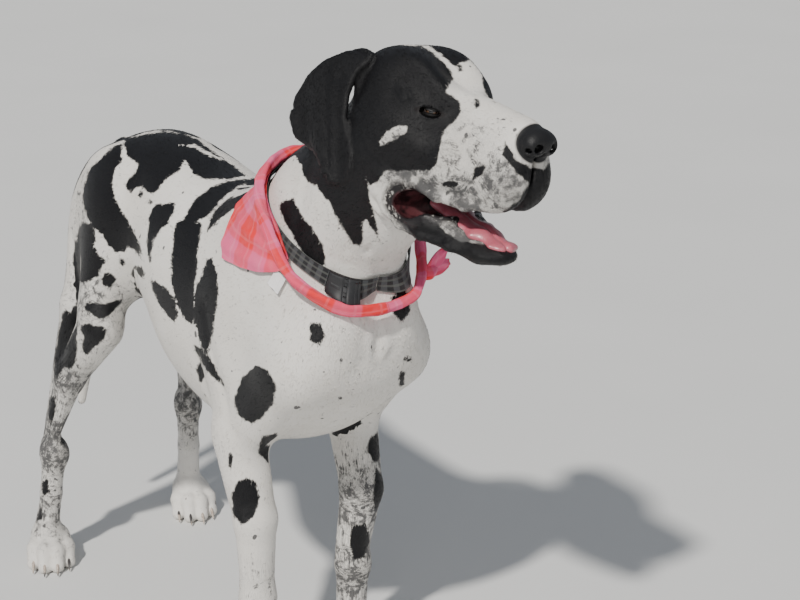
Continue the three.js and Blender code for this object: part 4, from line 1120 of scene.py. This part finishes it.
def tuft_density(points):
    """More tufts where the short coat breaks the form: breech, belly, tail and chest."""
    x, y, z = points.T
    breech = np.exp(-((y - 440) / 60) ** 2) * np.clip((z - 380) / 120, 0, 1)
    under = np.exp(-((z - 430) / 60) ** 2) * (np.abs(y) < 330)
    tail_part = (tail(x, y, z) < 6) * 1.0
    chest = np.exp(-((y + 390) / 50) ** 2) * np.exp(-((z - 700) / 160) ** 2)
    return 0.35 + breech + 0.8 * under + tail_part + 0.8 * chest


def tuft_points(root, normal, lie, length, width):
    """Three corners at the root, three half way along and one at the tip of each tuft."""
    side = np.cross(normal, lie)
    points = np.empty((len(root), 7, 3))
    for k, (across, rise) in enumerate(TUFT_CORNERS):
        t = (0.0, 0.55, 1.0)[k // 3]
        lift = (-0.35, 0.2, 0.15)[k // 3] + rise * 0.32
        off = side * (across * width / 2)[:, None] + normal * lift
        points[:, k] = root + lie * (length * t)[:, None] + off
    return points


def make_tufts(name, region, count, long, wide, seed):
    """Thin solid tufts of three sides that lie along the coat, each coloured by where it is rooted."""
    rng = np.random.default_rng(seed)
    corners = skin_points[skin_quads]
    middle = corners.mean(1)
    diagonals = corners[:, 2] - corners[:, 0], corners[:, 3] - corners[:, 1]
    area = np.linalg.norm(np.cross(*diagonals), axis=1) / 2
    bare = [skin_values[key][skin_quads].mean(1) + reach for key, reach in BARE_REACH.items()]
    bare = np.maximum.reduce(bare)
    weight = area * tuft_density(middle) * region(middle) * (bare < 0) * (middle[:, 2] > 14)
    pick = rng.choice(len(middle), count, p=weight / weight.sum())
    share = rng.dirichlet((1, 1, 1, 1), count)[:, :, None]
    quad = skin_quads[pick]
    root = (skin_points[quad] * share).sum(1)
    normal = (skin_normals[quad] * share).sum(1)
    normal /= np.linalg.norm(normal, axis=1)[:, None]
    lie = (skin_lie[quad] * share).sum(1) + rng.normal(0, 0.16, (count, 3))
    lie = unit_rows(lie - normal * (lie * normal).sum(1)[:, None])
    length = long * rng.uniform(0.7, 1.25, count)
    width = wide * rng.uniform(0.7, 1.2, count)
    points = tuft_points(root, normal, lie, length, width)
    faces = (np.arange(count)[:, None, None] * 7 + TUFT_FACES).reshape(-1, 3)
    piece = new_object(name, points.reshape(-1, 3), faces)
    for key, values in skin_values.items():
        set_values(piece, key, np.repeat(values[quad].mean(1), 7))
    set_vectors(piece, "place", np.repeat(root, 7, axis=0))
    set_vectors(piece, "lie", np.repeat(lie, 7, axis=0))
    add_tuft_map(piece, face_middles[pick], faces)
    piece.data.materials.append(coat)


def add_tuft_map(piece, roots, faces):
    """Each tuft's patch of the map, at its root's place."""
    spread = np.array([(-1, -1), (1, -1), (0, 1), (-0.5, -0.5), (0.5, -0.5), (0, 0.5), (0, 0)])
    spread = spread * TUFT_PATCH / 2
    places = np.clip((roots[:, None] + spread).reshape(-1, 2), 0, 1)
    layer = piece.data.uv_layers.new(name="OFBake")
    layer.data.foreach_set("uv", places[faces.ravel()].astype(np.float32).ravel())


HEAD_FROM, LEGS_BELOW = 1110, 430


def on_the_head(points):
    return (points[:, 2] - 0.4 * points[:, 1] > HEAD_FROM) * 1.0


def on_the_legs(points):
    return (points[:, 2] < LEGS_BELOW) * 1.0


def on_the_trunk(points):
    return (1 - on_the_head(points)) * (1 - on_the_legs(points))


make_tufts("coat_head", on_the_head, 16000, 4.5, 0.6, 11)
make_tufts("coat_trunk_fore", lambda p: on_the_trunk(p) * (p[:, 1] < 0), 18000, 7.5, 0.8, 12)
make_tufts("coat_trunk_hind", lambda p: on_the_trunk(p) * (p[:, 1] >= 0), 18000, 8.5, 0.9, 13)
make_tufts("coat_legs", on_the_legs, 15000, 6, 0.75, 14)


# Closed pieces swept along a path or laid on a grid.


def grid_faces(rows, columns, wrap_rows=False, wrap_columns=False):
    """Four-sided faces over a grid of points numbered row by row."""
    i = np.arange(rows if wrap_rows else rows - 1)
    j = np.arange(columns if wrap_columns else columns - 1)
    i, j = (v.ravel() for v in np.meshgrid(i, j, indexing="ij"))
    i2, j2 = (i + 1) % rows, (j + 1) % columns
    return np.stack([i * columns + j, i2 * columns + j, i2 * columns + j2, i * columns + j2], 1)


def border_faces(rows, columns):
    """Faces that close the rim between a grid of points and a second one numbered after it."""
    index = np.arange(rows * columns).reshape(rows, columns)
    loop = np.concatenate([index[0, :-1], index[:-1, -1], index[-1, :0:-1], index[:0:-1, 0]])
    after = np.roll(loop, -1)
    shift = rows * columns
    return np.stack([after, loop, loop + shift, after + shift], 1)


def shell(outer, inner):
    """A closed thin piece between two grids of points of the same shape."""
    shape = outer.shape[:2]
    sheet = grid_faces(*shape)
    faces = np.concatenate([sheet, sheet[:, ::-1] + shape[0] * shape[1], border_faces(*shape)])
    return np.concatenate([outer.reshape(-1, 3), inner.reshape(-1, 3)]), faces


def closed_tube(rings):
    """A tube through rings of points (rings, round, 3), its ends closed by a shrinking last ring."""
    count, around = rings.shape[:2]
    ends = [ring.mean(0) + (ring - ring.mean(0)) * 0.02 for ring in (rings[0], rings[-1])]
    rings = np.concatenate([[ends[0]], rings, [ends[1]]])
    faces = grid_faces(count + 2, around, wrap_columns=True)
    caps = []
    for start, flip in ((0, True), ((count + 1) * around, False)):
        for k in range(1, around - 1, 2):
            quad = [start, start + k, start + k + 1, start + (k + 2) % around]
            caps.append(quad[::-1] if flip else quad)
    return rings.reshape(-1, 3), np.concatenate([faces, caps])


def outward(points, faces):
    """The faces turned so that the closed mesh has its inside within."""
    a, b, c = points[faces[:, 0]], points[faces[:, 1]], points[faces[:, 2]]
    volume = (a * np.cross(b, c)).sum()
    if faces.shape[1] == 4:
        d = points[faces[:, 3]]
        volume += (a * np.cross(c, d)).sum()
    return faces if volume > 0 else faces[:, ::-1]


def merge(*meshes):
    points, faces, start = [], [], 0
    for p, f in meshes:
        points.append(p)
        faces.append(f + start)
        start += len(p)
    return np.concatenate(points), np.concatenate(faces)


# Eyes.

EYE_SEGMENTS = 48


def eyeball(side):
    """A ball with a slightly raised cornea; returns its points, faces and each point's angle off the gaze."""
    centre = from_head((EYE_AT[0], side * EYE_AT[1], EYE_AT[2]))
    gaze = unit(HEAD_AXES.T @ np.array([0.62, side * 0.78, -0.02]))
    across = unit(np.cross(gaze, (0, 0, 1)))
    rise = np.cross(across, gaze)
    angles = np.linspace(0.004, math.pi - 0.004, 40)
    turns = np.arange(EYE_SEGMENTS) * 2 * math.pi / EYE_SEGMENTS
    radius = EYE_RADIUS * HEAD_SCALE - 0.5
    lift = 0.45 * np.clip(1 - (angles / 0.62) ** 2, 0, 1)
    rings = np.array([
        centre + (radius + lift[n]) * (math.cos(t) * gaze + math.sin(t) * (
            np.cos(turns)[:, None] * across + np.sin(turns)[:, None] * rise))
        for n, t in enumerate(angles)
    ])
    points = rings.reshape(-1, 3)
    faces = outward(points, grid_faces(len(angles), EYE_SEGMENTS, wrap_columns=True))
    return points, faces, np.repeat(angles, EYE_SEGMENTS)


def eyelid(side, upper):
    """A lid that lies on the ball from the slit out to the skin around it."""
    centre = from_head((EYE_AT[0], side * EYE_AT[1], EYE_AT[2]))
    outward_way = np.array([0.50, 0.86, 0.02]) * (1, side, 1)
    across = np.array([0.86, -0.50, -0.12]) * (1, side, 1)
    outward_way, across = (v @ HEAD_AXES / np.linalg.norm(v) for v in (outward_way, across))
    rise = np.cross(across, outward_way) * side
    sweep, open_to = np.meshgrid(np.linspace(-1, 1, 37), np.linspace(0, 1, 12), indexing="ij")
    slit = (0.13 if upper else -0.13) * np.sqrt(np.clip(1 - sweep**2, 0, 1)) - 0.03 + 0.05 * sweep
    edge = 0.80 if upper else -0.80
    height = slit + (edge - slit) * open_to
    way = (np.cos(sweep) * np.cos(height))[..., None] * outward_way
    way = way + (np.sin(sweep) * np.cos(height))[..., None] * across
    way = way + np.sin(height)[..., None] * rise
    ball = EYE_RADIUS * HEAD_SCALE
    puff = 1.0 * np.sin(math.pi * np.clip(open_to * 1.1, 0, 1)) + 0.5 * np.exp(-(open_to / 0.08) ** 2)
    outer = centre + way * (ball + 1.5 + puff - 3.2 * open_to**3)[..., None]
    inner = centre + way * (ball - 0.1 - 2.5 * open_to)[..., None]
    points, faces = shell(outer, inner)
    return points, outward(points, faces)


def lid_material():
    s = Shader("black_lid_skin")
    place = s.attribute("place", "Vector")
    crease = s.noise(place, 0.7, 3.0, 0.6)
    colour = s.mix(crease, (0.004, 0.004, 0.004), (0.016, 0.014, 0.014))
    return s.finish(colour, 0.42, crease, 0.35, 0.0008, Specular_IOR_Level=0.4)


def eye_material():
    s = Shader("eye_amber_brown")
    angle, place = s.attribute("angle"), s.attribute("place", "Vector")
    iris = s.mix(s.noise(place, 0.9, 3.0), (0.045, 0.018, 0.008), (0.12, 0.055, 0.02))
    colour = s.mix(s.ramp(angle, 0.24, 0.27), (0.002, 0.002, 0.002), iris)
    colour = s.mix(s.ramp(angle, 0.56, 0.62), colour, (0.02, 0.010, 0.008))
    colour = s.mix(s.ramp(angle, 0.66, 0.9), colour, (0.40, 0.30, 0.26))
    return s.finish(colour, 0.12, Coat_Weight=0.8, Coat_Roughness=0.03, Specular_IOR_Level=0.6)


eye_finish, lid_finish = eye_material(), lid_material()
for eye_side, eye_name in ((-1, "right"), (1, "left")):
    ball_points, ball_faces, ball_angles = eyeball(eye_side)
    eye = new_object("eyeball_" + eye_name, ball_points, ball_faces)
    set_values(eye, "angle", ball_angles)
    set_vectors(eye, "place", ball_points)
    eye.data.materials.append(eye_finish)
    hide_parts("eye_" + eye_name)
    lid_points, lid_faces = merge(eyelid(eye_side, True), eyelid(eye_side, False))
    lids = new_object("eyelids_" + eye_name, lid_points, lid_faces)
    set_vectors(lids, "place", lid_points)
    lids.data.materials.append(lid_finish)


# Claws: short, blunt and curved down to the ground.


def claw(root, tip):
    root, tip = np.array(root, float), np.array(tip, float)
    axis = tip - root
    long = np.linalg.norm(axis)
    axis = axis / long
    side = unit(np.cross(axis, (0, 0, 1)))
    up = np.cross(side, axis)
    turns = np.arange(16) * math.pi / 8
    rings = []
    for t in np.linspace(0, 1, 9):
        radius = 4.6 * (1 - 0.68 * t**1.4) * (1 if t < 1 else 0.75)
        middle = root + axis * long * t + up * 2.2 * math.sin(math.pi * t)
        rings.append(middle + radius * (0.72 * np.cos(turns)[:, None] * side + np.sin(turns)[:, None] * up))
    points, faces = closed_tube(np.array(rings))
    points[:, 2] = np.maximum(points[:, 2], 0.7)
    return points, outward(points, faces)


def horn_material():
    s = Shader("claw_horn")
    place = s.attribute("place", "Vector")
    streak = s.noise(s.vector("MULTIPLY", place, (1.0, 0.2, 0.5)), 0.8, 3.0)
    tone = s.mix(s.ramp(streak, 0.35, 0.65), (0.30, 0.23, 0.18), (0.62, 0.54, 0.47))
    colour = s.mix(s.ramp(s.noise(place, 0.03, 1.0), 0.5, 0.56), tone, (0.05, 0.045, 0.045))
    return s.finish(colour, 0.38, streak, 0.25, 0.0006, Specular_IOR_Level=0.5)


claw_points, claw_faces = merge(*[claw(root, tip) for root, tip in CLAWS])
claws = new_object("claws", claw_points, claw_faces)
set_vectors(claws, "place", claw_points)
claws.data.materials.append(horn_material())
feet = [f"{end}_claw_{side}" for end in ("fore", "hind") for side in ("right", "left")]
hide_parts(*[f"{foot}_{n}" for foot in feet for n in (1, 2, 3, 4)])


# The tongue lies over the lower lip, grooved down the middle with a scalloped edge.

tongue_body = blend([
    rod((30, 0, -112, 17), (110, 0, -134, 17), (1, 1.6, 0.56)),
    rod((110, 0, -134, 17), (154, 2, -144, 16), (1, 1.6, 0.56)),
], 12)


def tongue_field(x, y, z):
    a, b, c = to_head(x, y, z)
    groove = 2.6 * np.exp(-(b / 3.5) ** 2) * np.clip((c + 0.28 * a + 108) / 6 + 1, 0, 1)
    edge = np.clip((np.abs(b) - 12) / 12, 0, 1) + np.clip((a - 135) / 30, 0, 1)
    scallop = edge * (1.1 + 1.1 * np.sin(a / 4.6 + 2.2 * np.sign(b)))
    ripple = 0.5 * np.sin(a / 7 + b / 9) + 0.3 * np.sin(b / 4 - a / 11)
    return (tongue_body(a, b, c) + 1.2 + groove + scallop + ripple) * HEAD_SCALE * 0.9


TONGUE_GRID = [grid_lines(-20, 130, 1.6), grid_lines(-710, -480, 1.8), grid_lines(815, 920, 1.4)]
tongue_points, tongue_quads = biggest_part(*surface(tongue_field, TONGUE_GRID))
tongue_points = settle(tongue_field, tongue_points, tongue_quads, 1)
tongue = new_object("tongue_soft", tongue_points, tongue_quads)


def tongue_material():
    s = Shader("tongue_wet")
    place = s.attribute("place", "Vector")
    bumps = s.noise(place, 1.1, 2.0, 0.6)
    colour = s.mix(s.noise(place, 0.05, 3.0), (0.36, 0.065, 0.095), (0.54, 0.14, 0.18))
    colour = s.mix(s.ramp(bumps, 0.5, 0.8), colour, (0.60, 0.22, 0.26))
    return s.finish(
        colour, 0.3, bumps, 0.3, 0.0008, Specular_IOR_Level=0.6, Coat_Weight=0.25, Coat_Roughness=0.2,
        Subsurface_Weight=0.1, Subsurface_Scale=0.004,
    )


set_vectors(tongue, "place", tongue_points)
tongue.data.materials.append(tongue_material())
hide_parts("tongue")


# What the dog wears follows a ring round the root of the neck.

RING_CENTRE = np.array((0, -262, 797))
RING_FORWARD, RING_ALONG = np.array((0, -0.839, -0.544)), np.array((0, -0.544, 0.839))


def on_ring(bearing, level, lift):
    """Points on the coat at a bearing (0 in front, 90 on the dog's right), a level and a lift, in mm."""
    bearing, level, lift = np.broadcast_arrays(*(np.asarray(v, float) for v in (bearing, level, lift)))
    t = np.radians(bearing)[..., None]
    start = RING_CENTRE + RING_ALONG * level[..., None]
    way = np.cos(t) * RING_FORWARD + np.sin(t) * np.array([-1.0, 0, 0])
    out = np.full(bearing.shape, 40.0)
    for _ in range(60):
        place = (start + way * out[..., None]).reshape(-1, 3)
        out = out - 0.8 * flesh(*place.T).reshape(bearing.shape)
    return start + way * (out + lift)[..., None]


def new_piece(name, points, faces, cloth, material, nodes, slot):
    piece = new_object(name, points, outward(points, faces))
    piece.data.materials.append(material)
    set_vectors(piece, "cloth", np.column_stack([cloth, np.zeros(len(points))]))
    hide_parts(*nodes)
    return piece


CHECK, THREAD = 84, 0.9


def check_cloth_material():
    """Soft checked cotton: coral, pink and pale stripes crossing, each thread showing in the weave."""
    s = Shader("check_cotton")
    cloth = s.attribute("cloth", "Vector")
    ways = s.both_ways(cloth)
    bands = []
    for way in ways:
        wave = s.wave(way, CHECK)
        thin = s.wave(way, CHECK / 2)
        bands.append((s.ramp(wave, -0.10, 0.10), s.ramp(thin, 0.93, 0.97)))
    warm = s.times(s.plus(bands[0][0], bands[1][0]), 0.5)
    colour = s.mix(warm, (0.80, 0.12, 0.26), (0.80, 0.030, 0.036))
    pale = s.times(s.math("MAXIMUM", bands[0][1], bands[1][1]), 0.10)
    colour = s.mix(pale, colour, (0.90, 0.52, 0.60))
    threads = [s.wave(way, THREAD) for way in ways]
    weave = s.plus(s.times(threads[0], 0.5), s.times(threads[1], 0.5))
    worn = s.noise(cloth, 0.05, 3.0)
    colour = s.mix(s.times(s.ramp(worn, 0.45, 0.7), 0.14), colour, (0.86, 0.30, 0.38))
    height = s.plus(s.times(weave, 0.3), s.noise(cloth, 0.2, 2.0))
    return s.finish(
        colour, 0.82, height, 0.4, 0.0012, Sheen_Weight=0.08, Sheen_Roughness=0.5, Specular_IOR_Level=0.2,
    )


cotton = check_cloth_material()

ROLL_LIFT, ROLL_RADIUS = 15, 8.6


def smooth_step(value, low, high):
    t = np.clip((value - low) / (high - low), 0, 1)
    return t * t * (3 - 2 * t)


def roll_level(bearing):
    """Below the collar in front, over it on both sides and up to the nape behind."""
    return 35 * smooth_step(np.minimum(bearing, 360 - bearing), 48, 92) + 4


def roll_centre(bearing):
    """The line of the roll, which bridges the hollows it passes over."""
    level = roll_level(bearing)
    places = on_ring(bearing, level, ROLL_LIFT)
    start = RING_CENTRE + RING_ALONG * level[:, None]
    reach = np.linalg.norm(places - start, axis=1)
    taut = reach
    for _ in range(60):
        taut = np.maximum(reach - 3, (np.roll(taut, 3) + np.roll(taut, -3)) / 2)
    return start + (places - start) * (taut / reach)[:, None]


def make_roll():
    """The rolled part of the bandana: a soft twist of three overlapping folds."""
    bearings = np.arange(0, 360, 1.5)
    centres = roll_centre(bearings)
    ahead = unit_rows(np.roll(centres, -1, 0) - np.roll(centres, 1, 0))
    out = centres - RING_CENTRE
    out = unit_rows(out - ahead * (out * ahead).sum(1)[:, None])
    rise = np.cross(ahead, out)
    turns = np.arange(36) * math.pi / 18
    rings, cloth = [], []
    gone = np.concatenate([[0], np.cumsum(np.linalg.norm(np.diff(centres, axis=0), axis=1))])
    for n, bearing in enumerate(bearings):
        twist = math.radians(bearing) * 2
        seam = np.exp(-((np.sin((turns + twist * 1.5) / 2)) / 0.12) ** 2)
        fold = 1 + 0.16 * np.cos(3 * (turns + twist)) - 0.20 * seam
        crease = 0.05 * math.sin(math.radians(bearing * 17)) + 0.04 * math.sin(math.radians(bearing * 31))
        radius = ROLL_RADIUS * (fold + crease) * (1 + 0.05 * math.sin(math.radians(bearing * 5)))
        wide = np.cos(turns)[:, None] * out[n] * 0.92 + np.sin(turns)[:, None] * rise[n] * 1.1
        rings.append(centres[n] + radius[:, None] * wide)
        cloth.append(np.column_stack([np.full(36, gone[n]), turns * 14 + bearing * 0.4]))
    points = np.array(rings).reshape(-1, 3)
    return points, grid_faces(len(bearings), 36, True, True), np.concatenate(cloth)


roll_points, roll_faces, roll_cloth = make_roll()
new_piece("bandana_rolled", roll_points, roll_faces, roll_cloth, cotton, ["bandana_roll"], "bandana_cloth")


# The triangle of the bandana hangs over the right shoulder from the roll.

FLAP_FROM, FLAP_TO, FLAP_CORNER, FLAP_DROP = 62, 176, 112, 92


def make_flap():
    bearings = np.linspace(FLAP_FROM, FLAP_TO, 90)
    rows = np.linspace(0, 1, 34)
    first = (bearings - FLAP_FROM) / (FLAP_CORNER - FLAP_FROM)
    second = (FLAP_TO - bearings) / (FLAP_TO - FLAP_CORNER)
    share = np.where(bearings < FLAP_CORNER, np.maximum(first, 0) ** 0.8, np.maximum(second, 0) ** 1.1)
    drop = 6 + FLAP_DROP * share
    top = roll_level(bearings)
    level = top - rows[:, None] * (drop + top)
    bearing = np.broadcast_to(bearings, level.shape)
    along = np.radians(bearing - FLAP_FROM) * 150
    fold = 2.0 * np.sin(along / 15 + level / 30) + 1.3 * np.sin(along / 8.5 - level / 16)
    pull = 3.2 * np.exp(-((along * 0.5 + level + 10) / 9) ** 2)
    pull = pull + 2.4 * np.exp(-((along * 0.28 + level - 8) / 6) ** 2)
    over_collar = 3.4 * smooth_step(level, -8, 7)
    lift = 4.2 + over_collar + (fold + 2.6) * 0.6 * np.clip(rows[:, None] * 3, 0, 1) + pull
    hem = 0.5 * np.exp(-((rows[:, None] - 0.97) / 0.03) ** 2)
    outer, inner = on_ring(bearing, level, lift + hem), on_ring(bearing, level, lift - 0.9)
    cloth = np.column_stack([(along * 0.8 - level * 0.55).ravel(), (level * 0.85 + along * 0.35).ravel()])
    return *shell(outer, inner), np.concatenate([cloth, cloth])


flap_points, flap_faces, flap_cloth = make_flap()
flap = new_piece("bandana_flap", flap_points, flap_faces, flap_cloth, cotton, ["bandana"], "bandana_cloth")


# The knot on the dog's left: a wrapped ball of cloth and two short tails.


def make_knot():
    centre = on_ring(-42, 0, 36)
    turns = np.arange(28) * math.pi / 14
    angles = np.linspace(0.05, math.pi - 0.05, 20)
    rings = []
    for t in angles:
        bulge = 1 + 0.10 * np.sin(2 * turns + 3 * t) + 0.05 * np.sin(5 * turns - 2 * t)
        radius = np.sin(t) * bulge
        rings.append(centre + np.stack([15.5 * radius * np.cos(turns), 12 * radius * np.sin(turns),
                                        np.full(28, 12.5 * math.cos(t))], 1))
    ball = closed_tube(np.array(rings))
    return merge(ball, *[knot_tail(centre, way) for way in ((24, -14, 38), (38, 2, 6))])


def knot_tail(centre, way):
    way = unit(np.array(way, float))
    side = unit(np.cross(way, (0, 1, 0.2)))
    thick = np.cross(side, way)
    rings = []
    for t in np.linspace(0, 1, 16):
        wide = 5 + 9 * math.sin(math.pi * min(t * 0.75 + 0.1, 1)) * (1 - 0.35 * t)
        u = np.linspace(-1, 1, 13)
        wave = 2.0 * np.sin(u * 4 + t * 5) * t
        middle = centre + way * 43 * t
        upper = [middle + side * wide * a + thick * (w + 1.0) for a, w in zip(u, wave)]
        lower = [middle + side * wide * a + thick * (w - 1.0) for a, w in zip(u[::-1], wave[::-1])]
        rings.append(np.array(upper + lower))
    return closed_tube(np.array(rings))


knot_points, knot_faces = make_knot()
knot_cloth = np.column_stack([knot_points[:, 0] * 1.1, knot_points[:, 2] * 1.1])
new_piece("bandana_tied", knot_points, knot_faces, knot_cloth, cotton, ["bandana_knot"], "bandana_cloth")


RING_RADIUS = 140


def ring_cloth(bearing, level):
    """Places on the cloth of a piece that follows the ring, for both its faces."""
    cloth = np.column_stack([np.radians(bearing.ravel()) * RING_RADIUS, level.ravel()])
    return np.concatenate([cloth, cloth])


def ring_slab(bearings, levels, low, high, rounding):
    """A closed slab on the ring between two lifts, thinner at its edges by the rounding."""
    level, bearing = np.meshgrid(levels, bearings, indexing="ij")
    v = np.abs(np.linspace(-1, 1, len(levels)))[:, None]
    u = np.abs(np.linspace(-1, 1, len(bearings)))[None, :]
    edge = rounding * (v**6 + (u**10 if bearings[-1] - bearings[0] < 359 else 0))
    outer = on_ring(bearing, level, high - np.minimum(edge, (high - low) * 0.8))
    inner = on_ring(bearing, level, np.full(level.shape, low))
    return *shell(outer, inner), ring_cloth(bearing, level)


# The collar: flat webbing woven in a dark check.


def webbing_material():
    s = Shader("dark_check_webbing")
    cloth = s.attribute("cloth", "Vector")
    along, across = s.both_ways(cloth)
    bars = s.ramp(s.wave(along, 18), -0.1, 0.1)
    lines = s.ramp(s.wave(across, 8), 0.3, 0.5)
    colour = s.mix(bars, (0.012, 0.013, 0.015), (0.055, 0.060, 0.064))
    colour = s.mix(s.times(lines, 0.6), colour, (0.10, 0.11, 0.10))
    woven = s.times(s.wave(along, 1.3), s.wave(across, 1.0))
    height = s.plus(woven, s.noise(cloth, 0.8, 2.0))
    return s.finish(colour, 0.75, height, 0.4, 0.0008, Sheen_Weight=0.15, Specular_IOR_Level=0.3)


collar_mesh = ring_slab(np.linspace(0, 359.2, 240), np.linspace(9.2, 32.8, 13), 1.6, 4.2, 0.9)
new_piece("collar_webbing", *collar_mesh, webbing_material(), ["collar"], "collar_webbing")


# The buckle: two moulded halves with side prongs, a centre rib and a bar that takes the webbing.


def plastic_material():
    s = Shader("black_acetal")
    place = s.attribute("cloth", "Vector")
    grain = s.noise(place, 1.6, 2.0)
    colour = s.mix(s.noise(place, 0.08, 2.0), (0.010, 0.010, 0.011), (0.030, 0.031, 0.033))
    return s.finish(colour, 0.36, grain, 0.12, 0.0004, Specular_IOR_Level=0.5)


# Each part: bearings from and to, levels from and to, lifts from and to, rounding.
BUCKLE_PARTS = [
    (13.4, 32.6, 7, 35, 4.8, 7.4, 1.2), (13.4, 21.0, 6, 36, 6.6, 11.6, 2.6),
    (22.6, 32.4, 6, 36, 6.6, 12.4, 2.8), (20.6, 23.2, 9, 14, 6.4, 10.2, 1.2),
    (20.6, 23.2, 28, 33, 6.4, 10.2, 1.2), (20.6, 23.2, 18, 24, 6.4, 10.8, 1.2),
    (15.0, 16.6, 9, 33, 11.0, 12.6, 0.8), (24.6, 30.6, 19, 23, 11.6, 13.0, 0.9),
    (13.2, 14.6, 8, 34, 7.0, 12.8, 1.0),
]


def buckle_meshes():
    out = []
    for start, end, low, high, bottom, top, rounding in BUCKLE_PARTS:
        slab = ring_slab(np.linspace(start, end, 18), np.linspace(low, high, 18), bottom, top, rounding)
        out.append((slab[0], outward(slab[0], slab[1])))
    return out


buckle_points, buckle_faces = merge(*buckle_meshes())
buckle_cloth = buckle_points[:, [0, 2]]
new_piece(
    "buckle_moulded", buckle_points, buckle_faces, buckle_cloth, plastic_material(),
    ["collar_buckle"], "buckle_plastic",
)


# The blank sewn-in tag under the flap's lower edge.


def tag_material():
    s = Shader("blank_satin_tag")
    cloth = s.attribute("cloth", "Vector")
    weave = s.noise(s.vector("MULTIPLY", cloth, (1.0, 4.0, 1.0)), 1.2, 2.0)
    colour = s.mix(s.noise(cloth, 0.1, 2.0), (0.86, 0.86, 0.85), (0.74, 0.74, 0.75))
    return s.finish(colour, 0.5, weave, 0.25, 0.0005, Sheen_Weight=0.2)


def make_tag():
    bearings, levels = np.linspace(57, 67, 16), np.linspace(-16, -40, 18)
    level, bearing = np.meshgrid(levels, bearings, indexing="ij")
    curl = 1.8 * ((level + 16) / 24) ** 2 + 0.5 * np.sin(bearing * 1.1)
    outer, inner = on_ring(bearing, level, 6.4 + curl), on_ring(bearing, level, 5.9 + curl)
    return *shell(outer, inner), ring_cloth(bearing, level)


tag = new_piece("bandana_tag_cloth", *make_tag(), tag_material(), ["bandana_tag"], "tag_cloth")


# A plain pale floor and soft light: a warm sun from the dog's right and front, a fill light and sky.


def add_floor():
    mesh = bpy.data.meshes.new("floor")
    size = 9.0
    corners = [(-size, -size, 0), (size, -size, 0), (size, size, 0), (-size, size, 0)]
    mesh.from_pydata(corners, [], [(0, 1, 2, 3)])
    floor = bpy.data.objects.new("floor", mesh)
    bpy.context.scene.collection.objects.link(floor)
    s = Shader("pale_floor")
    coords = s.tree.nodes.new("ShaderNodeTexCoord").outputs["Object"]
    tone = s.mix(s.noise(coords, 1.5, 3.0), (0.66, 0.66, 0.65), (0.72, 0.72, 0.71))
    mesh.materials.append(s.finish(tone, 0.85))


def add_area_light(name, place, aim, size, power, colour):
    data = bpy.data.lights.new(name, "AREA")
    data.shape, data.size, data.energy, data.color = "DISK", size, power, colour
    light = bpy.data.objects.new(name, data)
    light.location = place
    light.rotation_euler = (Vector(place) - Vector(aim)).to_track_quat("Z", "Y").to_euler()
    bpy.context.scene.collection.objects.link(light)


def add_sun(direction, strength, angle):
    data = bpy.data.lights.new("sun", "SUN")
    data.energy, data.angle, data.color = strength, math.radians(angle), (1.0, 0.97, 0.92)
    light = bpy.data.objects.new("sun", data)
    light.rotation_euler = Vector(direction).to_track_quat("Z", "Y").to_euler()
    bpy.context.scene.collection.objects.link(light)


def add_sky():
    world = bpy.data.worlds.new("sky")
    world.use_nodes = True
    background = world.node_tree.nodes["Background"]
    background.inputs["Color"].default_value = (0.80, 0.86, 0.95, 1)
    background.inputs["Strength"].default_value = 0.36
    bpy.context.scene.world = world


add_floor()
add_sun((-0.75, -0.45, 0.95), 3.9, 3)
add_area_light("fill", (-2.2, -3.4, 2.2), (0, -0.2, 0.7), 2.4, 26, (1.0, 0.98, 0.95))
add_sky()
